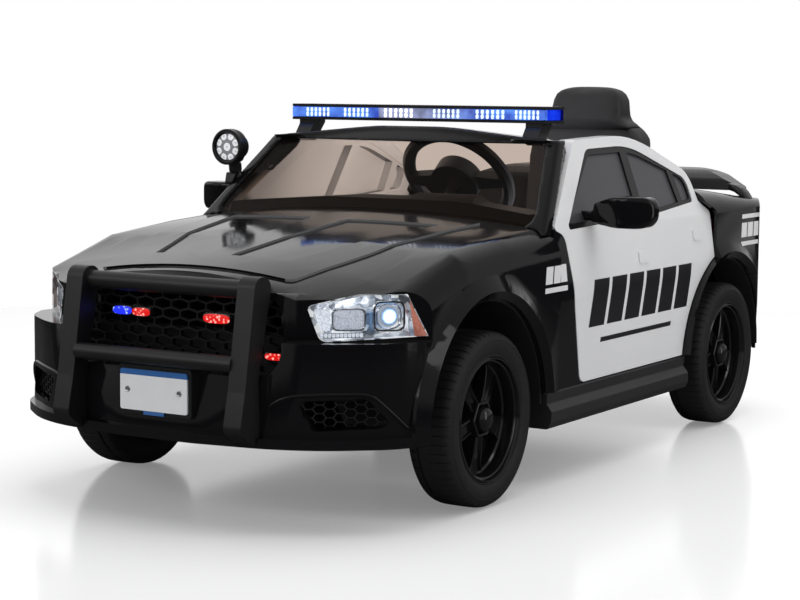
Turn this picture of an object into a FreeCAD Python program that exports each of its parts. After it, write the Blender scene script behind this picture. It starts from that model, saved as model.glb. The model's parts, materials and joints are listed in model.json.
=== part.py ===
import FreeCAD, Part
import os
from math import cos, sin, tan, radians

# A child's battery ride-on patrol car: open cabin, one seat, light bar, push bar.
# Millimetres. +Z up, the nose points to -Y, the car's left is +X.
# The origin is on the ground, midway between nose and tail.

V = FreeCAD.Vector

# ---------------------------------------------------------------- running gear
wheel_r = 115.0            # outside of the tyre
tyre_w = 64.0              # tyre, side to side
rim_r = 82.0               # where the tyre's bead sits
wheelbase = 803.0
front_axle_y = -345.0
wheel_out_x = 309.0        # outer face of the tyres from the middle
axle_r = 6.0               # steel axles
bore_gap = 0.05            # running clearance of each bore
kingpin_x = 220.0
kingpin_r = 7.0
steer_arm = 40.0           # kingpin to tie rod pin
steer_max = 22.0           # degrees each way
column_turn = 37.0         # degrees of the hand wheel at full lock
column_tilt = 52.0         # degrees from upright
column_r = 7.0
column_x = 30.0
crank_r = 25.0
hand_wheel_r = 92.0
hand_wheel_z = 406.0

# ------------------------------------------------------------------ bodywork
body_x = 303.0             # half width over the doors and wings
flare_x = 314.0            # half width over the wheel arch lips
arch_r = 157.0             # inside of a wheel arch
flare_w = 10.0             # width of the arch lip
flare_run = 20.0           # from the lip back to the flat of the body
sill_x = 310.0
wall = 5.0                 # moulded shell
seam = 2.0                 # gap round the doors
door_t = 24.0              # whole door, skin to lining
glass_t = 3.0
front_overhang = 305.0     # front axle to the middle of the bumper
tail_overhang = 227.0
under_z = 79.0             # underside of the floor
floor_z = 108.0
door_low_z = 130.0
belt_z = 349.0             # foot of the windows
roof_z = 474.0             # top of the door frames
bumper_low_z = 106.0
lamp_low_z = 234.0         # ledge of the bumper under the headlamps

rear_axle_y = front_axle_y + wheelbase
nose_y = front_axle_y - front_overhang
tail_y = rear_axle_y + tail_overhang
wheel_in_x = wheel_out_x - tyre_w
hinge_y = front_axle_y + 204.0
hinge_x = body_x + 1.0
door_rear_y = rear_axle_y - 47.0
lip_r = arch_r + flare_w


# ------------------------------------------------------------------- helpers
def outline(points, place):
    """Face from corners (a, b) or (a, b, radius), rounded by tangent arcs."""
    corners = [(V(p[0], p[1], 0), p[2] if len(p) > 2 else 0.0) for p in points]
    edges = []
    starts = []
    for i, (corner, radius) in enumerate(corners):
        before = (corners[i - 1][0] - corner).normalize()
        after = (corners[(i + 1) % len(corners)][0] - corner).normalize()
        if radius <= 0:
            starts.append((corner, None, corner))
            continue
        half = before.getAngle(after) / 2.0
        reach = radius / tan(half)
        middle = (before + after).normalize()
        bulge = corner + middle * (radius / sin(half) - radius)
        starts.append((corner + before * reach, bulge, corner + after * reach))
    for i, (first, bulge, last) in enumerate(starts):
        if bulge is not None:
            edges.append(Part.Arc(place(first), place(bulge), place(last)).toShape())
        following = starts[(i + 1) % len(starts)][0]
        if last.distanceToPoint(following) > 1e-6:
            edges.append(Part.LineSegment(place(last), place(following)).toShape())
    return Part.Face(Part.Wire(edges))


def slab_x(points, x0, x1):
    """Outline of (y, z) corners, thick from x0 to x1."""
    return outline(points, lambda p: V(x0, p.x, p.y)).extrude(V(x1 - x0, 0, 0))


def slab_y(points, y0, y1):
    """Outline of (x, z) corners, thick from y0 to y1."""
    return outline(points, lambda p: V(p.x, y0, p.y)).extrude(V(0, y1 - y0, 0))


def slab_z(points, z0, z1):
    """Outline of (x, y) corners, thick from z0 to z1."""
    return outline(points, lambda p: V(p.x, p.y, z0)).extrude(V(0, 0, z1 - z0))


def box(x0, x1, y0, y1, z0, z1):
    return Part.makeBox(x1 - x0, y1 - y0, z1 - z0, V(x0, y0, z0))


def rod(r, start, end):
    return Part.makeCylinder(r, start.distanceToPoint(end), start, end - start)


def rod_x(r, x0, x1, y, z):
    return Part.makeCylinder(r, x1 - x0, V(x0, y, z), V(1, 0, 0))


def rod_z(r, x, y, z0, z1):
    return Part.makeCylinder(r, z1 - z0, V(x, y, z0))


def turned_x(points, y, z):
    """Outline of (radius, x) corners turned about an axle along X at (y, z)."""
    face = outline(points, lambda p: V(p.y, y, z + p.x))
    return face.revolve(V(0, y, z), V(1, 0, 0), 360)


def fuse(shapes):
    return shapes[0].multiFuse(shapes[1:]).removeSplitter()


def mirrored(shape):
    return shape.mirror(V(0, 0, 0), V(1, 0, 0))


def pair(shape):
    return Part.makeCompound([shape, mirrored(shape)])


def full_width(points):
    """Right-hand outline points, then the same mirrored to the left."""
    left = [(-p[0],) + tuple(p[1:]) for p in reversed(points)]
    return points + left


def solids(shape):
    found = shape.Solids
    return found[0] if len(found) == 1 else Part.makeCompound(found)


def save(name, shape):
    shape = solids(shape)
    shape.exportStep("parts/" + name + ".step")
    print(name, len(shape.Solids), round(shape.Volume / 1000.0), shape.isValid())


def save_sides(name, left):
    save(name + "_left", left)
    save(name + "_right", mirrored(left))


os.makedirs("parts", exist_ok=True)


# ------------------------------------------------------------- outer bodywork
def lofted(rows, inset, low_z):
    """Body form through sections; its inner faces, drawn in by `inset`, are flat-sided."""
    wires = []
    for y, side_z, shoulder_x, shoulder_z, crown_z in rows:
        hw = body_x - inset
        sx = shoulder_x - inset
        sz = shoulder_z - inset
        mx = sx + (hw - sx) * 0.72
        mz = sz - (sz - side_z) * 0.38
        low_l, low_r = V(-hw, y, low_z), V(hw, y, low_z)
        side_l, side_r = V(-hw, y, side_z), V(hw, y, side_z)
        sh_l, sh_r = V(-sx, y, sz), V(sx, y, sz)
        if inset > 0.0:
            crown = V(0, y, crown_z - inset)
            right = [low_r, side_r, V(mx, y, mz), sh_r]
            left = [sh_l, V(-mx, y, mz), side_l, low_l]
            wires.append(Part.makePolygon([low_l] + right + [crown] + left))
            continue
        wires.append(Part.Wire([
            Part.LineSegment(low_l, low_r).toShape(),
            Part.LineSegment(low_r, side_r).toShape(),
            Part.Arc(side_r, V(mx, y, mz), sh_r).toShape(),
            Part.Arc(sh_r, V(0, y, crown_z - inset), sh_l).toShape(),
            Part.Arc(sh_l, V(-mx, y, mz), side_l).toShape(),
            Part.LineSegment(side_l, low_l).toShape(),
        ]))
    return Part.makeLoft(wires, True, True)


FRONT_ROWS = [  # y, side top z, shoulder x, shoulder z, crown z
    (nose_y - 8.0, 222.0, 212.0, 254.0, 284.0),
    (nose_y + 55.0, 240.0, 236.0, 276.0, 310.0),
    (nose_y + 130.0, 262.0, 266.0, 298.0, 323.0),
    (front_axle_y - 55.0, 290.0, 272.0, 333.0, 341.0),
    (front_axle_y + 75.0, 300.0, 272.0, 345.0, 356.0),
    (hinge_y - seam, 306.0, 272.0, 352.0, 369.0),
]
REAR_ROWS = [  # y, side top z, shoulder x, shoulder z, crown z
    (door_rear_y - 31.0, 344.0, 262.0, 386.0, 398.0),
    (rear_axle_y, 346.0, 262.0, 379.0, 393.0),
    (tail_y - 120.0, 348.0, 266.0, 367.0, 381.0),
    (tail_y - 40.0, 350.0, 268.0, 360.0, 372.0),
    (tail_y + 5.0, 346.0, 262.0, 352.0, 362.0),
]


def nose_plan(inset, z0, z1, tuck):
    """Plan of the nose; tuck draws the corners in, as at the headlamps."""
    half = [
        (body_x + 30.0, hinge_y + 1.0),
        (body_x + 30.0 - inset, nose_y + 190.0),
        (278.0 - inset - tuck, nose_y + 87.0 + tuck, 100.0),
        (190.0 - inset, nose_y + 22.0 + inset + tuck, 230.0),
        (60.0, nose_y + inset, 200.0),
    ]
    return slab_z(full_width(half), z0, z1)


lamp_tuck = 20.0           # depth of the ledge under the headlamps


def nose_form(inset):
    """Lofted form cut by the plan above and below the lamps and by the raked nose."""
    ledge_z = lamp_low_z - inset
    plan = nose_plan(inset, 0.0, ledge_z, 0.0).fuse(nose_plan(inset, ledge_z, 420.0, lamp_tuck))
    rake = slab_x([
        (nose_y - 1.0 + inset, 0.0),
        (nose_y - 1.0 + inset, bumper_low_z + 20.0),
        (nose_y + 44.0 + inset, 292.0, 10.0),
        (nose_y + 62.0 + inset, 318.0 - inset, 20.0),
        (nose_y + 200.0, 420.0),
        (hinge_y + 5.0, 420.0),
        (hinge_y + 5.0, 0.0),
    ], -340.0, 340.0)
    low_z = bumper_low_z if inset == 0.0 else bumper_low_z - 20.0
    return lofted(FRONT_ROWS, inset, low_z).common(plan).common(rake)


def tail_plan(inset, z0, z1):
    half = [
        (body_x + 30.0, door_rear_y - 32.0),
        (body_x + 30.0 - inset, tail_y - 150.0),
        (273.0 - inset, tail_y - 21.0 - inset, 52.0),
        (80.0, tail_y - inset, 200.0),
    ]
    return slab_z(full_width(half), z0, z1)


def arch_hole(axle_y, r, x0, x1):
    disc = rod_x(r, x0, x1, axle_y, wheel_r)
    return disc.fuse(box(x0, x1, axle_y - r, axle_y + r, 0.0, wheel_r))


def arch_lip(axle_y, ahead_z):
    """Flared lip round one left wheel arch; ahead of the wheel it reaches down to ahead_z."""
    root_x = body_x - wall
    ring = turned_x([(arch_r, root_x), (arch_r, body_x + 3.0), (lip_r, flare_x),
                     (lip_r + flare_run, body_x), (lip_r + flare_run, root_x)], axle_y, wheel_r)
    reach = lip_r + flare_run
    ahead = box(0.0, 400.0, axle_y - reach, axle_y, ahead_z, 400.0)
    return ring.common(ahead.fuse(box(0.0, 400.0, axle_y - 1.0, axle_y + reach, door_low_z, 400.0)))


# ------------------------------------------------------- sides of the body
def side_wall(outset, thick, y0, y1):
    """Left side of the body, skin to lining, leaning in above the belt."""
    return slab_y([
        (body_x - 5.0 + outset, 70.0),
        (body_x + 1.0 + outset, belt_z - 84.0, 160.0),
        (body_x - 12.0 + outset, belt_z - 4.0, 25.0),
        (body_x - 66.0 + outset, roof_z + 6.0),
        (body_x - 66.0 - thick + outset, roof_z + 6.0),
        (body_x - 12.0 - thick + outset, belt_z - 4.0),
        (body_x - thick + outset, belt_z - 84.0),
        (body_x - 5.0 - thick + outset, 70.0),
    ], y0, y1)


DOOR = [  # y, z, corner radius
    (hinge_y + seam, belt_z, 4.0),
    (hinge_y + 151.0, roof_z - 6.0, 24.0),
    (rear_axle_y - 248.0, roof_z, (rear_axle_y - hinge_y) * 0.6),
    (rear_axle_y - 82.0, roof_z - 62.0, 34.0),
    (rear_axle_y - 77.0, belt_z + 17.0, 4.0),
    (door_rear_y, belt_z + 1.0, 6.0),
    (door_rear_y - 10.0, door_low_z, 4.0),
    (hinge_y + 69.0, door_low_z, 18.0),
    (hinge_y + 43.0, belt_z - 106.0, 200.0),
    (hinge_y + 30.0, belt_z - 10.0, 20.0),
]


def grown_door(by):
    """Door outline moved out by the seam all round."""
    grown = []
    for i, (y, z, r) in enumerate(DOOR):
        if i in (0, 7, 8, 9):
            y -= by
        if i in (3, 4, 5, 6):
            y += by
        if i in (1, 2, 3):
            z += by
        if i in (6, 7):
            z -= by
        grown.append((y, z, r))
    return grown


front_form = nose_form(0.0)
front_core = nose_form(wall)
front_skin = front_form.cut(front_core)
for side in (-1.0, 1.0):
    near, far = sorted((side * (body_x - 60.0), side * 330.0))
    front_skin = front_skin.cut(arch_hole(front_axle_y, arch_r, near, far))

# ------------------------------------------------------- nose: lamps and grille
lamp_t = 26.0              # depth of a headlamp
HEADLAMP = [  # x, z, corner radius
    (190.0, 278.0, 6.0),
    (238.0, 292.0, 40.0),
    (290.0, 291.0, 10.0),
    (312.0, 240.0, 8.0),
    (204.0, lamp_low_z, 10.0),
]
GRILLE = [  # x, z, corner radius: right half, from the top
    (158.0, 287.0, 24.0),
    (174.0, 200.0, 28.0),
    (132.0, 190.0, 6.0),
]
grille_y = nose_y + 48.0   # face of the honeycomb
cell = 27.0                # honeycomb, cell pitch along X
cell_rise = 15.0           # height of a cell
cell_wall = 2.6
FOG = [  # x, z, corner radius
    (188.0, 164.0, 8.0),
    (262.0, 168.0, 8.0),
    (286.0, 132.0, 8.0),
    (206.0, 128.0, 8.0),
]


def shrunk(points, by):
    """The same outline drawn in by roughly `by` towards its middle."""
    cx = sum(p[0] for p in points) / len(points)
    cz = sum(p[1] for p in points) / len(points)
    half_x = max(abs(p[0] - cx) for p in points)
    half_z = max(abs(p[1] - cz) for p in points)
    fx = (half_x - by) / half_x
    fz = (half_z - by) / half_z
    return [(cx + (p[0] - cx) * fx, cz + (p[1] - cz) * fz) + tuple(p[2:]) for p in points]


def honeycomb(points, y0, y1):
    """Outline filled with hexagonal cells, with a solid rim."""
    panel = slab_y(points, y0, y1)
    inner = slab_y(shrunk(points, 4.0), y0 - 1.0, y1 + 1.0)
    half_w = (cell - cell_wall) / 2.0
    half_h = (cell_rise - cell_wall) / 2.0
    pitch_z = cell_rise * 0.75 + cell_wall * 0.25
    bound = panel.BoundBox
    cells = []
    rows = int(bound.ZLength / pitch_z) + 2
    columns = int(bound.XLength / cell) + 2
    middle_x = (bound.XMin + bound.XMax) / 2.0
    middle_z = (bound.ZMin + bound.ZMax) / 2.0
    for row in range(rows):
        z = middle_z + (row - (rows - 1) / 2.0) * pitch_z
        for column in range(columns):
            x = middle_x + (column - (columns - 1) / 2.0 + 0.5 * (row % 2)) * cell
            corners = [(x, z + half_h), (x + half_w, z + half_h / 2), (x + half_w, z - half_h / 2),
                       (x, z - half_h), (x - half_w, z - half_h / 2), (x - half_w, z + half_h / 2)]
            cells.append(slab_y(corners, y0 - 1.0, y1 + 1.0))
    holes = Part.makeCompound(cells).common(inner)
    return panel.cut(holes)


def tunnel(points, y0, y1, t):
    """Wall of thickness t round an opening, from y0 back to y1."""
    return slab_y(shrunk(points, -t), y0, y1).cut(slab_y(points, y0 - 1.0, y1 + 1.0))


lamp_side = slab_x([
    (nose_y - 10.0, lamp_low_z - 10.0), (nose_y - 10.0, 300.0), (nose_y + 130.0, 300.0),
    (nose_y + 154.0, lamp_low_z + 4.0, 6.0), (nose_y + 154.0, lamp_low_z - 10.0),
], -340.0, 340.0)
headlamp = front_form.cut(nose_form(lamp_t)).common(slab_y(HEADLAMP, nose_y, nose_y + 160.0))
headlamp = headlamp.common(lamp_side)
for side_lamp in (headlamp, mirrored(headlamp)):
    front_skin = front_skin.cut(side_lamp)
grille_outline = full_width(GRILLE)
front_skin = front_skin.cut(slab_y(grille_outline, nose_y - 5.0, grille_y + 20.0))

# the bumper carries the grille and reaches back to the wheel arches
bumper_back_y = front_axle_y - arch_r
bumper_zone = slab_x([
    (nose_y - 10.0, 0.0),
    (nose_y - 10.0, 292.0),
    (nose_y + 60.0, 292.0),
    (nose_y + 60.0, lamp_low_z),
    (bumper_back_y - 6.0, lamp_low_z),
    (bumper_back_y + 24.0, 150.0),
    (bumper_back_y + 24.0, 0.0),
], -330.0, 330.0).cut(pair(box(188.0, 340.0, nose_y - 20.0, nose_y + 200.0, lamp_low_z, 420.0)))
bonnet_x = 236.0           # shut line of the bonnet at the cowl
bonnet_zone = slab_z(full_width([
    (bonnet_x + 6.0, hinge_y + 1.0),
    (bonnet_x - 8.0, nose_y + 130.0, 60.0),
    (188.0, nose_y + 20.0, 30.0),
    (186.0, nose_y - 20.0),
]), 245.0, 420.0)
above_sill = box(-340.0, 340.0, nose_y - 10.0, hinge_y + 90.0, door_low_z - seam, 420.0)

upper_skin = front_skin.cut(bumper_zone)
bonnet = upper_skin.common(bonnet_zone)
wing = upper_skin.cut(bonnet_zone).common(above_sill).common(box(0.0, 340.0, -900.0, 900.0, 0.0, 420.0))
jamb = side_wall(0.0, door_t, hinge_y - seam - 1.0, hinge_y + 90.0)
jamb = jamb.common(box(200.0, 340.0, -900.0, 900.0, door_low_z - seam, belt_z + 1.0))
jamb = jamb.cut(slab_x(grown_door(seam), 100.0, 340.0))
wing = fuse([wing, arch_lip(front_axle_y, bumper_low_z), jamb])

bumper = front_skin.common(bumper_zone)
for side in (-1.0, 1.0):
    near, far = sorted((side * (body_x - 60.0), side * 330.0))
    bumper = bumper.cut(arch_hole(front_axle_y, lip_r + flare_run, near, far))
for fog in (FOG, [(-x, z, r) for x, z, r in reversed(FOG)]):
    bumper = bumper.cut(slab_y(fog, nose_y - 5.0, nose_y + 120.0))
    bumper = bumper.fuse(tunnel(fog, nose_y, nose_y + 110.0, 3.0).common(front_form))
bumper = bumper.fuse(tunnel(grille_outline, nose_y, grille_y + 8.0, 4.0).common(front_form))
chin_t = 8.0               # lip along the bumper's lower edge
chin = nose_plan(-chin_t, bumper_low_z, bumper_low_z + 12.0, 0.0).cut(nose_plan(wall, 0.0, 420.0, 0.0))
chin = chin.common(box(-body_x - 3.0, body_x + 3.0, nose_y - 40.0, bumper_back_y - 30.0, 0.0, 420.0))
chin = chin.cut(pair(arch_hole(front_axle_y, lip_r + flare_run, body_x - 60.0, 330.0)))
bumper = bumper.fuse(chin)
grilles = honeycomb(grille_outline, grille_y, grille_y + 7.0)

dome_t = 3.0               # the bonnet's middle stands this proud
DOME = [  # x, y, corner radius: right half, from the cowl
    (206.0, hinge_y - 58.0),
    (184.0, front_axle_y - 85.0, 200.0),
    (150.0, nose_y + 76.0, 12.0),
]
DOME_PANEL = [  # x, y, corner radius: the hollow either side of the spine
    (30.0, hinge_y - 118.0, 4.0),
    (172.0, hinge_y - 104.0, 6.0),
    (142.0, front_axle_y - 50.0, 120.0),
    (106.0, nose_y + 134.0, 5.0),
    (17.0, nose_y + 131.0, 4.0),
]
dome = nose_form(-dome_t).common(slab_z(full_width(DOME), 290.0, 420.0))
dome = dome.cut(pair(slab_z(DOME_PANEL, 290.0, 420.0))).cut(front_form)
bonnet = fuse([bonnet, dome])

save("bonnet", bonnet)
save_sides("front_wing", wing)
save("front_bumper", bumper)
save("headlamps", pair(headlamp))
save("grille", grilles)

# ------------------------------------------------------------------ rear body
seat_well_x = 236.0        # half width of the cabin behind the doors
seat_well_y = rear_axle_y - 8.0
bench_z = 214.0            # top of the moulded seat plinth
tail_lamp_t = 14.0
tail_split_z = 238.0
TAIL_LAMP = [  # x, z, corner radius
    (112.0, 318.0, 8.0),
    (340.0, 326.0, 8.0),
    (340.0, 276.0, 8.0),
    (124.0, 272.0, 8.0),
]


def tail_form(inset):
    rows = [(REAR_ROWS[0][0] + inset,) + REAR_ROWS[0][1:]] + REAR_ROWS[1:]
    rake = slab_x([
        (door_rear_y - 40.0, 0.0),
        (door_rear_y - 40.0, 420.0),
        (tail_y - 30.0 - inset, 420.0),
        (tail_y - 26.0 - inset, 350.0, 8.0),
        (tail_y - inset, 262.0, 60.0),
        (tail_y - 8.0 - inset, 140.0, 20.0),
        (tail_y - 30.0 - inset, 0.0),
    ], -340.0, 340.0)
    low_z = bumper_low_z if inset == 0.0 else bumper_low_z - 20.0
    return lofted(rows, inset, low_z).common(tail_plan(inset, 0.0, 420.0)).common(rake)


rear_form = tail_form(0.0)
rear_skin = rear_form.cut(tail_form(wall))
well = box(-seat_well_x, seat_well_x, door_rear_y - 40.0, seat_well_y, bench_z, 420.0)
well_lining = box(-seat_well_x - wall, seat_well_x + wall, door_rear_y - 31.0, seat_well_y + wall,
                  bench_z - wall, 420.0)
rear_skin = rear_skin.fuse(well_lining.common(rear_form)).cut(well)
for side in (-1.0, 1.0):
    near, far = sorted((side * (seat_well_x + 4.0), side * 330.0))
    rear_skin = rear_skin.cut(arch_hole(rear_axle_y, arch_r, near, far))
tail_lamps = rear_form.cut(tail_form(tail_lamp_t))
tail_lamps = tail_lamps.common(pair(slab_y(TAIL_LAMP, tail_y - 90.0, tail_y + 5.0)))
rear_skin = rear_skin.cut(tail_lamps)
rear_bumper_zone = box(-340.0, 340.0, rear_axle_y + 100.0, tail_y + 10.0, 0.0, tail_split_z)
rear_bumper = rear_skin.common(rear_bumper_zone)
rear_body = rear_skin.cut(rear_bumper_zone).cut(box(-340.0, 340.0, 0.0, tail_y, 0.0, door_low_z))
lining_x = seat_well_x + wall
below_bench = pair(box(0.0, lining_x, door_rear_y - 40.0, door_rear_y - 25.0, 0.0, bench_z - wall))
rear_body = rear_body.cut(below_bench)
door_room = slab_x(grown_door(seam), lining_x, 340.0)
door_room = door_room.cut(rod_x(lip_r, 0.0, 400.0, rear_axle_y, wheel_r))
rear_body = rear_body.cut(pair(door_room))
rear_lip = arch_lip(rear_axle_y, door_low_z).cut(rear_bumper_zone).cut(door_room)
for lip in (rear_lip, mirrored(rear_lip)):
    rear_body = rear_body.fuse(lip)

spoiler_x = 273.0
spoiler = slab_x([
    (tail_y - 92.0, 374.0),
    (tail_y - 84.0, 392.0, 12.0),
    (tail_y - 58.0, 407.0, 30.0),
    (tail_y - 21.0, 409.0, 2.0),
    (tail_y - 25.0, 398.0, 3.0),
    (tail_y - 70.0, 376.0, 10.0),
], -spoiler_x, spoiler_x)
spoiler = spoiler.common(slab_y([
    (-spoiler_x, 350.0), (-spoiler_x, 378.0, 10.0), (-spoiler_x + 80.0, 409.0, 200.0),
    (spoiler_x - 80.0, 409.0, 200.0), (spoiler_x, 378.0, 10.0), (spoiler_x, 350.0),
], tail_y - 100.0, tail_y))
spoiler = spoiler.cut(rear_form)

save("rear_body", rear_body)
save("rear_bumper", rear_bumper)
save("tail_lamps", tail_lamps)
save("spoiler", spoiler)

# ------------------------------------------------------- doors and their glass
WINDOW = [  # y, z, corner radius
    (hinge_y + 40.0, belt_z - 3.0, 4.0),
    (hinge_y + 182.0, roof_z - 19.0, 36.0),
    (rear_axle_y - 268.0, roof_z - 16.0, (rear_axle_y - hinge_y) * 0.48),
    (rear_axle_y - 96.0, roof_z - 72.0, 22.0),
    (rear_axle_y - 98.0, belt_z + 17.0, 5.0),
    (rear_axle_y - 244.0, belt_z + 6.0, 200.0),
]
frame_w = 9.0              # black frame round the glass
GLAZING_BARS = [  # y at the belt, y at the roof, half width
    (rear_axle_y - 303.0, rear_axle_y - 288.0, 12.0),
    (rear_axle_y - 140.0, rear_axle_y - 152.0, 9.0),
]

door_blank = side_wall(0.0, door_t, hinge_y - 10.0, door_rear_y + 10.0)
door_blank = door_blank.common(slab_x(DOOR, 100.0, 340.0))
door_blank = door_blank.cut(rod_x(lip_r + seam, 100.0, 340.0, rear_axle_y, wheel_r))
window_hole = slab_x(WINDOW, 100.0, 340.0)
door_panel = door_blank.cut(window_hole)
pane_zone = slab_x(shrunk(WINDOW, frame_w), 100.0, 340.0)
bars = fuse([slab_x([(low_y - w, belt_z - 20.0), (low_y + w, belt_z - 20.0), (high_y + w, roof_z),
                     (high_y - w, roof_z)], 100.0, 340.0) for low_y, high_y, w in GLAZING_BARS])
frame_skin = side_wall(-1.5, door_t - 3.0, hinge_y, door_rear_y).common(window_hole)
window_frame = frame_skin.cut(pane_zone).fuse(frame_skin.common(bars))
rebate = 3.0
glass_zone = slab_x(shrunk(WINDOW, frame_w - rebate), 100.0, 340.0)
door_glass = side_wall(-5.0, glass_t, hinge_y, door_rear_y).common(glass_zone)
window_frame = window_frame.cut(door_glass)

pad_half_w = 17.0          # moulded pads in place of the door pulls
pad_half_h = 9.0
for pad_y, pad_z in ((rear_axle_y - 322.0, 295.0), (rear_axle_y - 112.0, 316.0)):
    pad = slab_x([
        (pad_y - pad_half_w, pad_z - pad_half_h, 4.0), (pad_y + pad_half_w, pad_z - pad_half_h, 4.0),
        (pad_y + pad_half_w, pad_z + pad_half_h, 4.0), (pad_y - pad_half_w, pad_z + pad_half_h, 4.0),
    ], 100.0, 340.0)
    door_panel = door_panel.fuse(side_wall(2.5, 4.0, hinge_y, door_rear_y).common(pad))

save_sides("door", door_panel)
save_sides("window_frame", window_frame)
save_sides("door_glass", door_glass)

# ------------------------------------------------------------------- mirrors
mirror_y = hinge_y + 115.0
mirror_z = belt_z + 21.0
mirror = slab_z([
    (298.0, mirror_y - 18.0, 16.0), (352.0, mirror_y - 26.0, 60.0), (391.0, mirror_y - 8.0, 20.0),
    (391.0, mirror_y + 16.0, 8.0), (296.0, mirror_y + 16.0, 6.0),
], mirror_z - 22.0, mirror_z + 22.0)
mirror = mirror.common(slab_y([
    (292.0, mirror_z - 15.0, 10.0), (336.0, mirror_z - 22.0, 40.0), (382.0, mirror_z - 22.0, 20.0),
    (394.0, mirror_z + 2.0, 16.0), (384.0, mirror_z + 22.0, 16.0), (338.0, mirror_z + 24.0, 60.0),
    (290.0, mirror_z + 8.0, 12.0),
], mirror_y - 40.0, mirror_y + 40.0))
mirror_arm = slab_y([
    (270.0, mirror_z - 16.0, 4.0), (304.0, mirror_z - 12.0, 3.0),
    (304.0, mirror_z - 1.0, 3.0), (270.0, mirror_z + 2.0, 4.0),
], mirror_y - 14.0, mirror_y + 8.0)
mirror = mirror.fuse(mirror_arm).cut(side_wall(-1.5, door_t, hinge_y, door_rear_y)).cut(door_panel)
mirror = max(mirror.Solids, key=lambda piece: piece.Volume)
save_sides("mirror", mirror)

# ---------------------------------------------------------------- windscreen
glass_top_z = roof_z - 11.0
glass_low_z = belt_z + 3.0
SCREEN = [  # z, half width, y at the ends, y at the middle
    (belt_z - 7.0, 292.0, hinge_y - 34.0, hinge_y - 66.0),
    (roof_z + 8.0, 240.0, hinge_y + 113.0, hinge_y + 93.0),
]


def screen_band(front, back):
    """Curved slab that follows the glass, from front to back of its face."""
    wires = []
    for z, half_w, end_y, middle_y in SCREEN:
        points = [(-half_w, end_y), (0.0, middle_y), (half_w, end_y)]
        outer = [V(x, y + front, z) for x, y in points]
        inner = [V(x, y + back, z) for x, y in points]
        wires.append(Part.Wire([
            Part.Arc(*outer).toShape(),
            Part.LineSegment(outer[2], inner[2]).toShape(),
            Part.Arc(inner[2], inner[1], inner[0]).toShape(),
            Part.LineSegment(inner[0], outer[0]).toShape(),
        ]))
    return Part.makeLoft(wires, True, True)


screen_hole = slab_y(full_width([
    (270.0, glass_low_z, 14.0),
    (228.0, glass_top_z, 16.0),
])[::-1], hinge_y - 90.0, hinge_y + 150.0)
screen_frame = screen_band(0.0, 26.0).cut(screen_hole)
header = slab_x([
    (hinge_y + 84.0, roof_z - 6.0, 3.0), (hinge_y + 94.0, roof_z + 12.0, 8.0),
    (hinge_y + 122.0, roof_z + 9.0, 8.0), (hinge_y + 118.0, roof_z - 14.0, 6.0),
], -238.0, 238.0)
pillar = side_wall(-2.0, 30.0, hinge_y - 60.0, hinge_y + 140.0).common(slab_x([
    (hinge_y - 40.0, belt_z - 2.0, 3.0), (hinge_y - 3.0, belt_z + 1.0, 3.0),
    (hinge_y + 144.0, roof_z - 8.0, 14.0), (hinge_y + 104.0, roof_z + 2.0, 10.0),
], 100.0, 340.0))
pillar = pillar.cut(screen_band(-60.0, 0.0))
header_arch = slab_y([
    (-340.0, 200.0), (-340.0, roof_z - 8.0), (-231.0, roof_z - 5.0, 30.0), (0.0, roof_z + 17.0, 1000.0),
    (231.0, roof_z - 5.0, 30.0), (340.0, roof_z - 8.0), (340.0, 200.0),
], hinge_y - 100.0, hinge_y + 160.0)
screen_frame = fuse([screen_frame, header, pillar, mirrored(pillar)]).common(header_arch)
screen_frame = screen_frame.cut(screen_hole.common(screen_band(-1.0, 40.0)))
screen_frame = screen_frame.cut(front_form).cut(pair(jamb))
screen_glass = screen_band(6.0, 6.0 + glass_t).common(screen_hole).cut(front_form)
save("windscreen_frame", screen_frame)
save("windscreen_glass", screen_glass)

# ------------------------------------------------------------ steering column
tilt = radians(column_tilt)
column_up = V(0.0, sin(tilt), cos(tilt))
crank_down = V(0.0, cos(tilt), -sin(tilt))
tie_rod_y = front_axle_y + steer_arm
tie_rod_z = 96.0
crank_pin = V(column_x, tie_rod_y, tie_rod_z)
column_foot = crank_pin - crank_down * crank_r
hand_wheel_centre = column_foot + column_up * ((hand_wheel_z - column_foot.z) / cos(tilt))


def on_column(along, shape):
    """Shape made about the origin with its axis on Z, set on the column line."""
    placed = shape.copy()
    turn = FreeCAD.Rotation(V(-1, 0, 0), crank_down * -1.0, column_up, "ZXY")
    placed.Placement = FreeCAD.Placement(column_foot + column_up * along, turn)
    return placed


column_length = hand_wheel_centre.distanceToPoint(column_foot)
crank_s = 8.5              # crank plate above the tie rod's plane
crank_t = 5.5
pin_r = 4.0
column = on_column(crank_s, Part.makeCylinder(column_r, column_length - crank_s - 6.0))
crank = slab_z([(-9.0, 9.0, 8.0), (9.0, 9.0, 8.0), (9.0, -crank_r - 9.0, 8.0), (-9.0, -crank_r - 9.0, 8.0)],
               0.0, crank_t)
crank = on_column(crank_s, crank)
pin_end = -6.0
crank_rod = on_column(pin_end, Part.makeCylinder(pin_r, crank_s - pin_end + 1.0, V(0.0, -crank_r, 0.0)))
steering_column = fuse([column, crank, crank_rod])
rim_bar = 10.0
bar_corners = [(hand_wheel_r - rim_bar + rim_bar * cos(radians(45.0 * k + 22.5)), 0.0,
                rim_bar * sin(radians(45.0 * k + 22.5))) for k in range(8)]
hand_rim = Part.Face(Part.makePolygon([V(*c) for c in bar_corners + bar_corners[:1]]))
hand_rim = hand_rim.revolve(V(0, 0, 0), V(0, 0, 1), 360)
hub = Part.makeCylinder(38.0, 26.0, V(0, 0, -18.0))
spoke_end = hand_wheel_r - 12.0
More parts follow.
